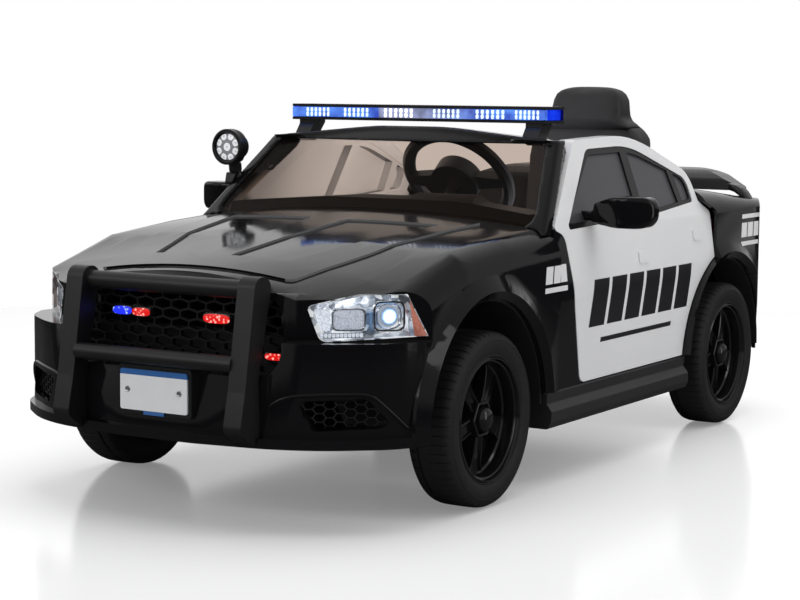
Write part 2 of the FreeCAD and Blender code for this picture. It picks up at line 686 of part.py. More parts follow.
SPOKES = [  # corners (x, y, radius) of each spoke
    [(-spoke_end, 8.0, 3.0), (-20.0, 14.0), (-20.0, -14.0), (-spoke_end, -8.0, 3.0)],
    [(spoke_end, -8.0, 3.0), (20.0, -14.0), (20.0, 14.0), (spoke_end, 8.0, 3.0)],
    [(-12.0, -20.0), (12.0, -20.0), (9.0, -spoke_end, 3.0), (-9.0, -spoke_end, 3.0)],
]
spokes = [slab_z(corners, -10.0, 4.0) for corners in SPOKES]
hand_wheel = on_column(column_length, fuse([hand_rim, hub] + spokes)).cut(steering_column)
save("steering_wheel", hand_wheel)
save("steering_column", steering_column)

# ------------------------------------------------------------------ running gear
rod_t = 6.0                # tie rod, flat bar
rod_w = 12.0
sleeve_r = 13.0
beam_low_z = wheel_r - 10.0
beam_top_z = wheel_r + 10.0
beam_half_y = 9.0
sleeve_low_z = wheel_r - 23.0
sleeve_top_z = wheel_r + 23.0
yoke_t = 7.0
yoke_gap = 0.5
beam = box(-kingpin_x, kingpin_x, front_axle_y - beam_half_y, front_axle_y + beam_half_y,
           beam_low_z, beam_top_z)
bore = rod_z(kingpin_r + bore_gap, kingpin_x, front_axle_y, 0.0, 300.0)
sleeve = rod_z(sleeve_r, kingpin_x, front_axle_y, sleeve_low_z, sleeve_top_z)
front_axle = fuse([beam, sleeve, mirrored(sleeve)]).cut(pair(bore))
save("front_axle", front_axle)

yoke_x = kingpin_x + sleeve_r + 3.0
yoke_end_x = wheel_in_x + 2.0
yoke_low_z = sleeve_low_z - yoke_gap - yoke_t
yoke_top_z = sleeve_top_z + yoke_gap + yoke_t
stub_end_x = wheel_out_x - 9.0
lower_arm = slab_z([
    (kingpin_x - 9.0, front_axle_y - 10.0, 8.0), (yoke_end_x, front_axle_y - 12.0),
    (yoke_end_x, front_axle_y + 12.0), (kingpin_x + 8.0, front_axle_y + 14.0),
    (kingpin_x + 8.0, tie_rod_y + 8.0, 7.5), (kingpin_x - 8.0, tie_rod_y + 8.0, 7.5),
    (kingpin_x - 9.0, front_axle_y, 2.0),
], yoke_low_z, yoke_low_z + yoke_t)
upper_arm = slab_z([
    (kingpin_x - 9.0, front_axle_y - 10.0, 8.0), (yoke_end_x, front_axle_y - 12.0),
    (yoke_end_x, front_axle_y + 12.0), (kingpin_x - 9.0, front_axle_y + 10.0, 8.0),
], yoke_top_z - yoke_t, yoke_top_z)
knuckle = fuse([
    rod_z(kingpin_r, kingpin_x, front_axle_y, yoke_low_z, yoke_top_z),
    lower_arm, upper_arm,
    box(yoke_x, yoke_end_x, front_axle_y - 12.0, front_axle_y + 12.0, yoke_low_z, yoke_top_z),
    rod_x(axle_r, yoke_x, stub_end_x, front_axle_y, wheel_r),
    rod_z(pin_r, kingpin_x, tie_rod_y, yoke_low_z, tie_rod_z + rod_t / 2 + 3.0),
])
save_sides("knuckle", knuckle)

slip = 0.7                 # play of the pins in the tie rod
arm_drop = steer_arm * (1.0 - cos(radians(steer_max)))
crank_lift = crank_r * (1.0 - cos(radians(column_turn)))
bar = box(-kingpin_x - 6.0, kingpin_x + 6.0, tie_rod_y - rod_w / 2, tie_rod_y + rod_w / 2,
          tie_rod_z - rod_t / 2, tie_rod_z + rod_t / 2)
eye = slab_z([
    (kingpin_x - 9.0, tie_rod_y - arm_drop - 9.0, 6.0), (kingpin_x + 9.0, tie_rod_y - arm_drop - 9.0, 6.0),
    (kingpin_x + 9.0, tie_rod_y + 9.0, 6.0), (kingpin_x - 9.0, tie_rod_y + 9.0, 6.0),
], tie_rod_z - rod_t / 2, tie_rod_z + rod_t / 2)
eye_slot = box(kingpin_x - pin_r - slip, kingpin_x + pin_r + slip, tie_rod_y - arm_drop - pin_r - slip,
               tie_rod_y + pin_r + slip, 0.0, 200.0)
lug = on_column(0.0, slab_z([
    (-15.0, -crank_r - 12.0, 5.0), (15.0, -crank_r - 12.0, 5.0),
    (15.0, -crank_r + crank_lift + 12.0, 5.0), (-15.0, -crank_r + crank_lift + 12.0, 5.0),
], -3.0, 3.0))
slot_r = pin_r + slip
lug_slot = on_column(0.0, slab_z([
    (-slot_r, -crank_r - slot_r), (slot_r, -crank_r - slot_r),
    (slot_r, -crank_r + crank_lift + slot_r), (-slot_r, -crank_r + crank_lift + slot_r),
], -20.0, 20.0))
tie_rod = fuse([bar, eye, mirrored(eye), lug]).cut(pair(eye_slot)).cut(lug_slot)
save("tie_rod", tie_rod)

# --------------------------------------------------------------------- wheels
spoke_count = 5
hub_r = 17.0
rim_t = 7.0
tyre_edge = 4.6            # shoulder of the tread
tyre_profile = [  # radius, x
    (rim_r, wheel_in_x), (wheel_r - tyre_edge, wheel_in_x), (wheel_r, wheel_in_x + tyre_edge),
    (wheel_r, wheel_out_x - tyre_edge), (wheel_r - tyre_edge, wheel_out_x), (rim_r, wheel_out_x),
]


def wheel_at(axle_y):
    """Tyre and spoked rim of a left wheel."""
    tyre = turned_x(tyre_profile, axle_y, wheel_r)
    well_r = rim_r - rim_t
    bore_r = axle_r + bore_gap
    dish = turned_x([
        (rim_r, wheel_in_x + 3.0), (rim_r, wheel_out_x - 3.0), (well_r, wheel_out_x - 3.0),
        (well_r, wheel_in_x + 20.0), (bore_r, wheel_in_x + 20.0),
        (bore_r, wheel_in_x + 14.0), (well_r, wheel_in_x + 14.0), (well_r, wheel_in_x + 3.0),
    ], axle_y, wheel_r)
    boss = turned_x([
        (bore_r, wheel_in_x + 3.5), (bore_r, stub_end_x + 0.5),
        (0.0, stub_end_x + 0.5), (0.0, wheel_out_x - 3.0), (hub_r - 4.0, wheel_out_x - 3.0),
        (hub_r, wheel_out_x - 7.0), (hub_r, wheel_in_x + 3.5),
    ], axle_y, wheel_r)
    parts = [dish, boss]
    for k in range(spoke_count):
        spoke = slab_x([
            (hub_r - 4.0, -8.0), (rim_r - 3.0, -15.0), (rim_r - 3.0, 15.0), (hub_r - 4.0, 8.0),
        ], wheel_out_x - 22.0, wheel_out_x - 8.0)
        spoke.translate(V(0.0, axle_y, wheel_r))
        spoke.rotate(V(0.0, axle_y, wheel_r), V(1, 0, 0), 180.0 - 360.0 * k / spoke_count)
        parts.append(spoke)
    return tyre, fuse(parts)


for place, axle_y in (("front", front_axle_y), ("rear", rear_axle_y)):
    tyre, rim = wheel_at(axle_y)
    save_sides("tyre_" + place, tyre)
    save_sides("rim_" + place, rim)

rear_axle = fuse([
    rod_x(axle_r, -stub_end_x, stub_end_x, rear_axle_y, wheel_r),
    rod_x(axle_r + 5.0, -wheel_in_x - 1.0, wheel_in_x + 1.0, rear_axle_y, wheel_r),
])
save("rear_axle", rear_axle)
gearbox_top_z = bench_z - 2 * wall
gearbox = slab_x([
    (rear_axle_y - 14.0, wheel_r - 28.0), (rear_axle_y + 14.0, wheel_r - 28.0),
    (rear_axle_y + 26.0, wheel_r - 14.0), (rear_axle_y + 26.0, gearbox_top_z),
    (rear_axle_y - 26.0, gearbox_top_z), (rear_axle_y - 26.0, wheel_r - 14.0),
], 176.0, 212.0)
motor = rod_x(18.0, 120.0, 176.0, rear_axle_y, wheel_r + 50.0)
gearboxes = pair(gearbox.fuse(motor).cut(rod_x(axle_r + 5.0, 0.0, 400.0, rear_axle_y, wheel_r)))
save("gearboxes", gearboxes)

# ------------------------------------------------------- chassis, sills, cabin
bay_x = kingpin_x - 30.0   # half width of the bay between the front wheels
rear_bay_x = seat_well_x + 4.0
liner_t = 3.0
pan_x = hinge_x - door_t - 16.0
firewall_y = hinge_y - 52.0
rear_wall_y = rear_axle_y - arch_r - wall + liner_t
plinth_y = rear_axle_y - 330.0  # front of the seat's plinth
nose_wall_y = bumper_back_y - 30.0
nose_wall_x = pan_x - 2.0


def liner(axle_y, x0, x1):
    """Half-round shield over one left wheel."""
    ring = turned_x([(arch_r - liner_t, x0), (arch_r - liner_t, x1), (arch_r, x1), (arch_r, x0)],
                    axle_y, wheel_r)
    return ring.common(box(0.0, 400.0, axle_y - 200.0, axle_y + 200.0, wheel_r, 400.0))


front_liner = liner(front_axle_y, bay_x, body_x - wall)
rear_liner = liner(rear_axle_y, rear_bay_x, body_x - wall)
cross_beam = box(-bay_x, bay_x, front_axle_y - 12.0, front_axle_y + 12.0, beam_top_z, beam_top_z + 40.0)
chassis_parts = [
    box(-pan_x, pan_x, firewall_y, rear_wall_y, under_z, floor_z),
    box(-pan_x, pan_x, firewall_y, firewall_y + wall, under_z, belt_z - 30.0),
    box(-bay_x, -bay_x + wall, nose_wall_y, firewall_y, beam_top_z, 272.0),
    box(bay_x - wall, bay_x, nose_wall_y, firewall_y, beam_top_z, 272.0),
    box(-nose_wall_x, nose_wall_x, nose_wall_y, nose_wall_y + wall, bumper_low_z + 8.0, 232.0),
    cross_beam, front_liner, mirrored(front_liner),
    box(-seat_well_x, seat_well_x, plinth_y, plinth_y + wall, floor_z, bench_z - wall),
    box(-seat_well_x, seat_well_x, plinth_y, door_rear_y - 31.0, bench_z - wall, bench_z),
    box(-seat_well_x, seat_well_x, rear_wall_y, rear_axle_y + 150.0, bench_z - 2 * wall, bench_z - wall),
    box(-seat_well_x, -seat_well_x + wall, plinth_y, rear_wall_y, floor_z, bench_z - wall),
    box(seat_well_x - wall, seat_well_x, plinth_y, rear_wall_y, floor_z, bench_z - wall),
    box(-pan_x, pan_x, rear_wall_y, rear_wall_y + wall, under_z, bench_z - wall),
    box(-rear_bay_x, -rear_bay_x + wall, rear_wall_y, rear_axle_y + 150.0, under_z + 20.0, bench_z - wall),
    box(rear_bay_x - wall, rear_bay_x, rear_wall_y, rear_axle_y + 150.0, under_z + 20.0, bench_z - wall),
    rear_liner, mirrored(rear_liner),
]
chassis = fuse(chassis_parts)
for side in (-1.0, 1.0):
    for axle_y, inner_x in ((front_axle_y, bay_x), (rear_axle_y, rear_bay_x)):
        near, far = sorted((side * inner_x, side * 330.0))
        chassis = chassis.cut(arch_hole(axle_y, arch_r - liner_t, near, far))
chassis = chassis.cut(on_column(0.0, Part.makeCylinder(column_r + bore_gap, column_length)))
chassis = chassis.cut(rod_x(axle_r + 5.0, -400.0, 400.0, rear_axle_y, wheel_r))
chassis = chassis.common(box(-pan_x, pan_x, -900.0, 900.0, 0.0, 420.0).fuse(
    pair(box(pan_x, body_x - wall, front_axle_y - arch_r, front_axle_y + arch_r, 0.0, 420.0))).fuse(
    pair(box(pan_x, body_x - wall, rear_axle_y - arch_r, rear_axle_y + arch_r, 0.0, 420.0))))
save("chassis", chassis)

sill = slab_y([
    (pan_x, under_z), (sill_x - 5.0, under_z, 3.0), (sill_x, under_z + 10.0, 3.0),
    (sill_x, under_z + 24.0, 3.0), (body_x - 1.0, under_z + 34.0, 3.0),
    (body_x - 1.0, door_low_z - seam, 2.0), (pan_x, door_low_z - seam),
], front_axle_y, rear_axle_y)
for axle_y in (front_axle_y, rear_axle_y):
    sill = sill.cut(rod_x(lip_r, 0.0, 400.0, axle_y, wheel_r))
save("sills", pair(sill))

dash = slab_x([
    (firewall_y + wall, belt_z - 44.0), (hinge_y - seam, belt_z - 20.0), (hinge_y - seam, belt_z + 34.0),
    (hinge_y + 36.0, belt_z + 44.0, 14.0), (hinge_y + 64.0, belt_z + 16.0, 14.0),
    (hinge_y + 66.0, belt_z - 20.0, 12.0), (hinge_y + 52.0, belt_z - 78.0, 12.0),
    (firewall_y + 30.0, belt_z - 100.0, 12.0), (firewall_y + wall, belt_z - 100.0),
], -pan_x + 2.0, pan_x - 2.0)
dash = dash.cut(on_column(0.0, Part.makeCylinder(column_r + 3.0, column_length)))
dash_crown = slab_y([
    (-pan_x, 100.0), (-pan_x, belt_z + 20.0, 10.0), (-40.0, belt_z + 37.0, 300.0),
    (48.0, belt_z + 37.0, 8.0), (60.0, belt_z + 46.0, 10.0), (150.0, belt_z + 46.0, 14.0),
    (164.0, belt_z + 31.0, 8.0), (pan_x, belt_z + 18.0, 10.0), (pan_x, 100.0),
], firewall_y - 10.0, hinge_y + 140.0)
door_clearance = pair(side_wall(0.0, door_t + 6.0, hinge_y - 60.0, hinge_y + 140.0))
dash = dash.common(dash_crown).cut(door_clearance).cut(screen_frame)
dash = dash.cut(screen_band(-80.0, 6.0 + glass_t + 2.0))
save("dashboard", dash)

# ----------------------------------------------------------------------- seat
seat_x = 75.0
seat_w = 208.0
cushion_t = 46.0
soft_gap = 0.3             # soft pieces lie this far from their seats
seat_split_y = rear_axle_y - 100.0
cushion = slab_x([
    (plinth_y, bench_z + soft_gap, 4.0), (plinth_y + 5.0, bench_z + cushion_t, 20.0),
    (seat_split_y, bench_z + cushion_t - 6.0, 6.0), (seat_split_y, bench_z + soft_gap, 4.0),
], seat_x - seat_w / 2, seat_x + seat_w / 2)
back_outline = [  # x from the seat's middle, z
    (seat_w / 2 - 6.0, bench_z + soft_gap, 10.0), (seat_w / 2, 380.0, 40.0),
    (seat_w / 2 - 6.0, 486.0, 44.0), (66.0, 489.0, 8.0), (59.0, 545.0, 28.0),
]
back = slab_y([(seat_x + p[0], p[1], p[2]) for p in back_outline]
              + [(seat_x - p[0], p[1], p[2]) for p in reversed(back_outline)],
              rear_axle_y - 160.0, rear_axle_y + 60.0)
back = back.common(slab_x([
    (seat_split_y + soft_gap, bench_z + soft_gap), (seat_split_y + soft_gap, bench_z + cushion_t),
    (rear_axle_y - 66.0, 486.0), (rear_axle_y - 52.0, 546.0, 16.0), (rear_axle_y - 14.0, 546.0, 16.0),
    (rear_axle_y - 9.0, 470.0), (rear_axle_y - 50.0, bench_z + soft_gap),
], seat_x - 160.0, seat_x + 160.0))
save("seat_cushion", cushion)
save("seat_back", back)
battery = box(-60.0, 60.0, rear_axle_y - 300.0, rear_axle_y - 205.0, floor_z, floor_z + 92.0)
save("battery", battery)

# ------------------------------------------------------------------ light bar
bar_half = 221.0
bar_y = hinge_y + 114.0    # front face
bar_depth = 50.0
bar_low_z = roof_z + 18.0
bar_top_z = roof_z + 42.0
lens_split = 62.0          # clear middle between the coloured ends
foot_x = 196.0
cap_t = 4.0


def bar_plan(inset, x0, x1, z0, z1):
    return box(x0, x1, bar_y + inset, bar_y + bar_depth - inset, z0, z1)


bar_base = fuse([
    bar_plan(0.0, -bar_half, bar_half, bar_low_z, bar_low_z + cap_t),
    bar_plan(0.0, -bar_half, bar_half, bar_top_z - cap_t, bar_top_z),
    bar_plan(10.0, -bar_half + 6.0, bar_half - 6.0, bar_low_z, bar_top_z),
])
foot = slab_x([
    (bar_y + 2.0, bar_low_z), (bar_y + 2.0, bar_low_z - 6.0), (bar_y - 12.0, roof_z - 6.0),
    (bar_y + 8.0, roof_z - 14.0), (bar_y + 34.0, bar_low_z - 4.0), (bar_y + 34.0, bar_low_z),
], foot_x - 13.0, foot_x + 13.0)
feet = pair(foot).cut(screen_frame)
bar_base = bar_base.fuse(feet)
lens_shell = bar_plan(1.0, -bar_half + 1.0, bar_half - 1.0, bar_low_z + cap_t, bar_top_z - cap_t)
lens_shell = lens_shell.cut(bar_base)
blue_zone = pair(box(lens_split, 400.0, -400.0, 400.0, 400.0, 600.0))
save("light_bar_base", bar_base)
save("light_bar_blue", lens_shell.common(blue_zone))
save("light_bar_clear", lens_shell.cut(blue_zone))

# ------------------------------------------------------------------ spotlight
spot = V(-273.0, hinge_y + 31.0, belt_z + 101.0)
spot_r = 26.5
neck_z = belt_z + 44.0     # foot of the lamp's neck on the pillar
spotlight = fuse([
    Part.makeCylinder(spot_r, 16.0, spot + V(0, -16.0, 0), V(0, 1, 0)),
    Part.makeCylinder(spot_r * 0.7, 14.0, spot, V(0, 1, 0)),
    rod(4.0, spot, V(spot.x + 2.0, spot.y + 2.0, neck_z + 16.0)),
    slab_x([
        (spot.y - 12.0, neck_z, 4.0), (spot.y + 14.0, neck_z, 4.0),
        (spot.y + 16.0, neck_z + 20.0, 4.0), (spot.y - 8.0, neck_z + 18.0, 4.0),
    ], spot.x - 8.0, spot.x + 26.0),
]).cut(mirrored(side_wall(-2.0, 40.0, hinge_y - 60.0, hinge_y + 140.0))).cut(screen_frame)
spotlight = max(spotlight.Solids, key=lambda piece: piece.Volume)
save("spotlight", spotlight)

# ------------------------------------------------- push bar and number plate
upright_x0 = 120.0
upright_x1 = 146.0
UPRIGHT = [  # y from the nose, z, corner radius
    (6.0, 313.0, 16.0), (-16.0, 176.0, 60.0), (-27.0, 128.0, 12.0), (-4.0, 112.0, 8.0), (22.0, 98.0, 4.0),
    (40.0, 104.0, 4.0), (14.0, 150.0, 30.0), (12.0, 190.0, 40.0), (43.0, 313.0, 16.0),
]
upright = slab_x([(nose_y + y, z, r) for y, z, r in UPRIGHT], upright_x0, upright_x1)
push_bar = fuse([
    upright, mirrored(upright),
    rod_x(11.5, -upright_x0 - 2.0, upright_x0 + 2.0, nose_y + 22.0, 296.0),
    rod_x(10.5, -upright_x0 - 2.0, upright_x0 + 2.0, nose_y - 4.0, 207.0),
]).cut(front_form).cut(bumper)
push_bar = max(push_bar.Solids, key=lambda piece: piece.Volume)
save("push_bar", push_bar)

plate_w = 104.0
plate_h = 51.0
plate_z = 165.0
plate_t = 2.5
plate_y = nose_y - 4.0


def plate_blank(margin, corner_r, y0, y1):
    half_w = plate_w / 2 + margin
    half_h = plate_h / 2 + margin
    return slab_y([
        (-half_w, plate_z - half_h, corner_r), (half_w, plate_z - half_h, corner_r),
        (half_w, plate_z + half_h, corner_r), (-half_w, plate_z + half_h, corner_r),
    ], y0, y1)


holder = plate_blank(5.0, 5.0, plate_y, nose_y + 30.0).cut(front_form).cut(push_bar)
screw_r = 2.0
screw_x = 40.0
plate = plate_blank(0.0, 3.0, plate_y - plate_t, plate_y)
for x in (-screw_x, screw_x):
    hole = rod(screw_r, V(x, plate_y - 20.0, plate_z), V(x, nose_y + 60.0, plate_z))
    holder = holder.cut(hole)
    plate = plate.cut(hole)
save("plate_holder", max(holder.Solids, key=lambda piece: piece.Volume))
save("number_plate", plate)
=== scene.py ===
import json
from math import cos, pi, radians, sin

import bmesh
import bpy
from mathutils import Matrix, Vector
from mathutils.bvhtree import BVHTree

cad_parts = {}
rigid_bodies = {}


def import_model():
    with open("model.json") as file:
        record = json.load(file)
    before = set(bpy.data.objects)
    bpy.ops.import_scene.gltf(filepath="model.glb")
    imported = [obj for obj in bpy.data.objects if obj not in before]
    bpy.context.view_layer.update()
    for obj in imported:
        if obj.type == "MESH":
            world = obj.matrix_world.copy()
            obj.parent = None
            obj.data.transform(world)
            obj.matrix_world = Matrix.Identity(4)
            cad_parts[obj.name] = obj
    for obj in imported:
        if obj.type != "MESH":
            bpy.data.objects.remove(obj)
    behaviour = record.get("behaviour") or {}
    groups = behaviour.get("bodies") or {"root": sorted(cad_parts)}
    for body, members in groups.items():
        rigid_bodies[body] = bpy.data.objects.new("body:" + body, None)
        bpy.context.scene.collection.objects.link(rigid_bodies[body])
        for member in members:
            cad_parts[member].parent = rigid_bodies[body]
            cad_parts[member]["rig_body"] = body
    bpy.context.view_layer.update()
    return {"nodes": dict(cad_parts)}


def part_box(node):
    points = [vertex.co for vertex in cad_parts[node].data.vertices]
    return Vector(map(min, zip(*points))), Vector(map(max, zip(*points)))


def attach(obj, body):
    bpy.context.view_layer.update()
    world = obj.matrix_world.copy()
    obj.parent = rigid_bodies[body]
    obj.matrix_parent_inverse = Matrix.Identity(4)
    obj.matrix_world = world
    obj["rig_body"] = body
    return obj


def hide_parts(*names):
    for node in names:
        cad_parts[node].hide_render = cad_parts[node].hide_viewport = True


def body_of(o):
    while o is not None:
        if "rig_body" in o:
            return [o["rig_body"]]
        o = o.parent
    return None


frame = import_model()
solid = frame["nodes"]

# ------------------------------------------------------------ sizes, in metres
wheel_out_x = 0.309                          # outer face of the tyres
axle_z = 0.115
axle_y = {"front": -0.345, "rear": 0.458}
soft_edge = 0.0013                           # rounding of a moulding's edges
spot_at = Vector((-0.273, -0.126, 0.450))    # face of the spotlight
lamp_way = Vector((0.74, -0.67, 0.0))        # where the left projector looks
projector_at = Vector((0.2677, -0.5322, 0.2636)) - lamp_way * 0.0065
mirror_x = Matrix.Diagonal((-1.0, 1.0, 1.0, 1.0))
SIDES = (("left", Matrix.Identity(4)), ("right", mirror_x))
ahead = (0.0, -1.0, 0.0)


# ------------------------------------------------------------- shader writing
class Value:
    """An output of a shader node; arithmetic on it adds the Math nodes."""

    def __init__(self, finish, socket):
        self.finish = finish
        self.socket = socket

    def maths(self, operation, *others):
        return self.finish.node("Math", dict(enumerate((self, *others))), operation=operation)

    def __rsub__(self, other):
        return self.finish.node("Math", {0: other, 1: self}, operation="SUBTRACT")

    def within(self, low, high):
        return (self > low) * (self < high)

    def either(self, other):
        return self.maths("MAXIMUM", other)


def arithmetic(operation):
    return lambda value, *other: value.maths(operation, *other)


for sign, operation in (
    ("add", "ADD"), ("radd", "ADD"), ("sub", "SUBTRACT"), ("mul", "MULTIPLY"), ("rmul", "MULTIPLY"),
    ("pow", "POWER"), ("mod", "FLOORED_MODULO"), ("gt", "GREATER_THAN"), ("lt", "LESS_THAN"), ("abs", "ABSOLUTE"),
):
    setattr(Value, "__%s__" % sign, arithmetic(operation))

SOCKETS = {"base": "Base Color", "rough": "Roughness", "sheen": "Specular IOR Level", "coat": "Coat Weight",
           "coat_rough": "Coat Roughness", "metallic": "Metallic", "glow": "Emission Color",
           "power": "Emission Strength", "normal": "Normal"}


class Finish:
    """A material, or the world, being written with its nodes."""

    def __init__(self, name, kind="materials", spot="Object"):
        self.owner = getattr(bpy.data, kind).new(name)
        self.owner.use_nodes = True
        self.tree = self.owner.node_tree
        self.tree.nodes.clear()
        self.spot = self.node("TexCoord", out=spot)
        self.axes = None

    def node(self, kind, values=(), out=0, stops=(), **settings):
        made = self.tree.nodes.new("ShaderNode" + kind)
        for name, setting in settings.items():
            setattr(made, name, setting)
        if stops:
            ramp = made.color_ramp.elements
            while len(ramp) < len(stops):
                ramp.new(0.5)
            for element, (position, colour) in zip(ramp, stops):
                element.position = position
                element.color = (*colour, 1.0)
        for key, value in dict(values).items():
            entry = made.inputs[key]
            if isinstance(value, Value):
                self.tree.links.new(value.socket, entry)
            else:
                entry.default_value = (*value, 1.0) if entry.type == "RGBA" else value
        return Value(self, made.outputs[out])

    def split(self, vector):
        return [self.node("SeparateXYZ", {0: vector}, out=axis) for axis in range(3)]

    def place(self):
        """x, y and z of the point, in metres."""
        self.axes = self.axes or self.split(self.spot)
        return self.axes

    def noise(self, scale, detail=3.0, roughness=0.5, spot=None):
        return self.node("TexNoise", {"Vector": spot or self.spot, "Scale": scale, "Detail": detail,
                                      "Roughness": roughness})

    def cells(self, scale, out="Distance", **settings):
        return self.node("TexVoronoi", {"Vector": self.spot, "Scale": scale}, out=out, **settings)

    def spread(self, value, low, high):
        """A 0 to 1 pattern laid between two numbers."""
        return value * (high - low) + low

    def fade(self, value, start, end, low=0.0, high=1.0):
        """From low to high while the value goes from start to end."""
        return self.node("MapRange", {"Value": value, 1: start, 2: end, 3: low, 4: high}, out="Result")

    def between(self, mask, first, second):
        """First colour where the mask is 0, second where it is 1."""
        return self.node("Mix", {0: mask, 6: first, 7: second}, out=2, data_type="RGBA")

    def bump(self, height, depth, strength=1.0):
        return self.node("Bump", {"Height": height, "Distance": depth, "Strength": strength}, out="Normal")

    def sheen_share(self, head_on):
        """Part of the light a thin sheet reflects: little head on, most at a grazing angle."""
        edge = self.node("LayerWeight", {"Blend": 0.5}, out="Facing")
        return self.spread(edge ** 4.0, head_on, 0.9)

    def surface(self, **values):
        return self.node("BsdfPrincipled", {SOCKETS[name]: value for name, value in values.items()})

    def clear(self, tint):
        return self.node("BsdfTransparent", {"Color": tint})

    def mixed(self, share, first, second):
        return self.node("MixShader", {0: share, 1: first, 2: second})

    def finished(self, shader, output="OutputMaterial"):
        end = self.tree.nodes.new("ShaderNode" + output)
        self.tree.links.new(shader.socket, end.inputs["Surface"])
        return self.owner

    def plain(self, **values):
        """The material, finished with one surface."""
        return self.finished(self.surface(**values))


def shaded(base, share):
    return tuple(c * share for c in base)


def metres(table):
    """A table of sizes in millimetres, in metres."""
    return [tuple(size / 1000 for size in row) for row in table]


# --------------------------------------------------------------------- finishes
# Markings of a panel: slant (its height and slope), row of blocks (from, to, pitch, width), the blocks'
# foot and top, then the foot, top, from and to of each thin line.
WING_BARS = (0.263, 0.10), (-0.190, -0.122, 0.0236, 0.0205), (0.2775, 0.3015), [(0.2655, 0.2725, -0.190, -0.122)]
QUARTER_BARS = ((0.280, 0.06), (0.518, 0.5985, 0.0270, 0.0230), (0.3005, 0.3245),
                [(0.3315, 0.3385, 0.518, 0.5960), (0.2865, 0.2935, 0.518, 0.5960)])
DOOR_BARS = (0.206, 0.24), (-0.052, 0.304, 0.0598, 0.0505), (0.206, 0.273), [(0.1815, 0.1885, -0.006, 0.244)]


def markings(f, slant, row, upright, lines):
    """1 on the plain bars and blocks of a panel, 0 beside them."""
    x, y, z = f.place()
    level, slope = slant
    start, end, pitch, width = row
    lean = y - (z - level) * slope
    mask = z.within(*upright) * (((lean - start) % pitch) < width) * lean.within(start, end)
    for low, high, first, last in lines:
        mask = mask.either(z.within(low, high) * lean.within(first, last))
    return mask


def moulded(name, base, rough, grain=900.0, depth=0.00005, sheen=0.5, coat=0.0):
    """Moulded plastic: faint mottling, a fine grain and small changes of gloss."""
    f = Finish(name)
    return f.plain(base=f.between(f.noise(9.0, 4.0), shaded(base, 0.75), shaded(base, 1.25)),
                   rough=f.spread(f.noise(70.0, 5.0, 0.7), rough * 0.82, rough * 1.18), sheen=sheen,
                   coat=coat, coat_rough=0.05, normal=f.bump(f.noise(grain, 2.0, 0.6), depth))


def glossy_black(name, bars=None, inner=0.27):
    """Polished black moulding with orange peel and hairline swirls; light bars further out than `inner`."""
    f = Finish(name)
    base = f.between(f.noise(5.0, 3.0), (0.0035, 0.0035, 0.0042), (0.0065, 0.0065, 0.0075))
    rough = f.spread(f.noise(420.0, 3.0, 0.7), 0.055, 0.13)
    if bars:
        mark = abs(f.place()[0]).within(inner, 0.4) * markings(f, *bars)
        base = f.between(mark, base, (0.72, 0.72, 0.73))
        rough = rough + mark * 0.2
    return f.plain(base=base, rough=rough, sheen=0.3, normal=f.bump(f.noise(160.0, 2.0, 0.4), 0.00012, 0.35))


def white_door(name):
    """White moulding with slanted dark blocks and a thin line under them."""
    f = Finish(name)
    mark = markings(f, *DOOR_BARS)
    paint = f.between(f.noise(6.0, 3.0), (0.735, 0.74, 0.75), (0.79, 0.79, 0.80))
    return f.plain(base=f.between(mark, paint, (0.012, 0.012, 0.014)),
                   rough=f.spread(f.noise(380.0, 3.0, 0.7), 0.14, 0.22) + mark * 0.12,
                   sheen=0.5, normal=f.bump(f.noise(140.0, 2.0, 0.4), 0.0001, 0.3))


def rubbery(name):
    """Foam-rubber tyre: dull, with a fine grain and a faint bloom."""
    f = Finish(name)
    return f.plain(base=f.between(f.noise(14.0, 4.0), (0.0085, 0.0085, 0.009), (0.017, 0.017, 0.018)),
                   rough=f.spread(f.noise(60.0, 4.0), 0.52, 0.68), sheen=0.35,
                   normal=f.bump(f.noise(1400.0, 2.0, 0.6), 0.00008))


def clear_sheet(name, tint, rough=0.03):
    """Thin clear or tinted plastic; each face passes the tint."""
    f = Finish(name)
    gloss = f.surface(base=shaded(tint, 0.05), rough=f.spread(f.noise(90.0, 4.0, 0.6), rough, rough * 2.0),
                      sheen=0.5, normal=f.bump(f.noise(40.0, 2.0, 0.4), 0.0001, 0.25))
    return f.finished(f.mixed(f.sheen_share(0.03), f.clear(tint), gloss))


def two_faced(name, outside, inside, rough):
    """A moulding of the door: one colour on its outer face, another towards the cabin."""
    f = Finish(name)
    x = f.place()[0]
    sideways, lengthways, _ = f.split(f.node("TexCoord", out="Normal"))
    outer = ((sideways * x) > -0.02) * (1 - (x < 0.0) * (lengthways < -0.3))
    cloud = f.noise(8.0, 3.0)
    return f.plain(base=f.between(outer, f.between(cloud, shaded(inside, 0.94), inside),
                                  f.between(cloud, shaded(outside, 0.92), outside)),
                   rough=f.spread(f.noise(300.0, 3.0, 0.7), rough * 0.8, rough * 1.2) + (1 - outer) * 0.2,
                   normal=f.bump(f.noise(500.0, 2.0), 0.00004))


def bar_ends(f):
    """1 where the light bar is blue, 0 in its clear middle."""
    x = f.place()[0]
    return f.fade(x, -0.0600, -0.0630).either(f.fade(x, 0.012, 0.130))


def bar_lens(name):
    """Lens of the light bar: grey in its middle, deep blue at its ends, finely ribbed."""
    f = Finish(name)
    ribs = (f.place()[2] * 1400.0).maths("SINE") * 0.5
    blue = bar_ends(f)
    tinted = f.mixed(blue, f.clear((0.60, 0.64, 0.84)), f.clear((0.10, 0.20, 1.0)))
    gloss = f.surface(base=f.between(blue, (0.2, 0.2, 0.24), (0.01, 0.015, 0.4)),
                      rough=f.spread(f.noise(90.0, 3.0), 0.05, 0.1),
                      normal=f.bump(ribs + f.noise(200.0, 2.0) * 0.5, 0.0001, 0.3))
    return f.finished(f.mixed(f.sheen_share(0.04), tinted, gloss))


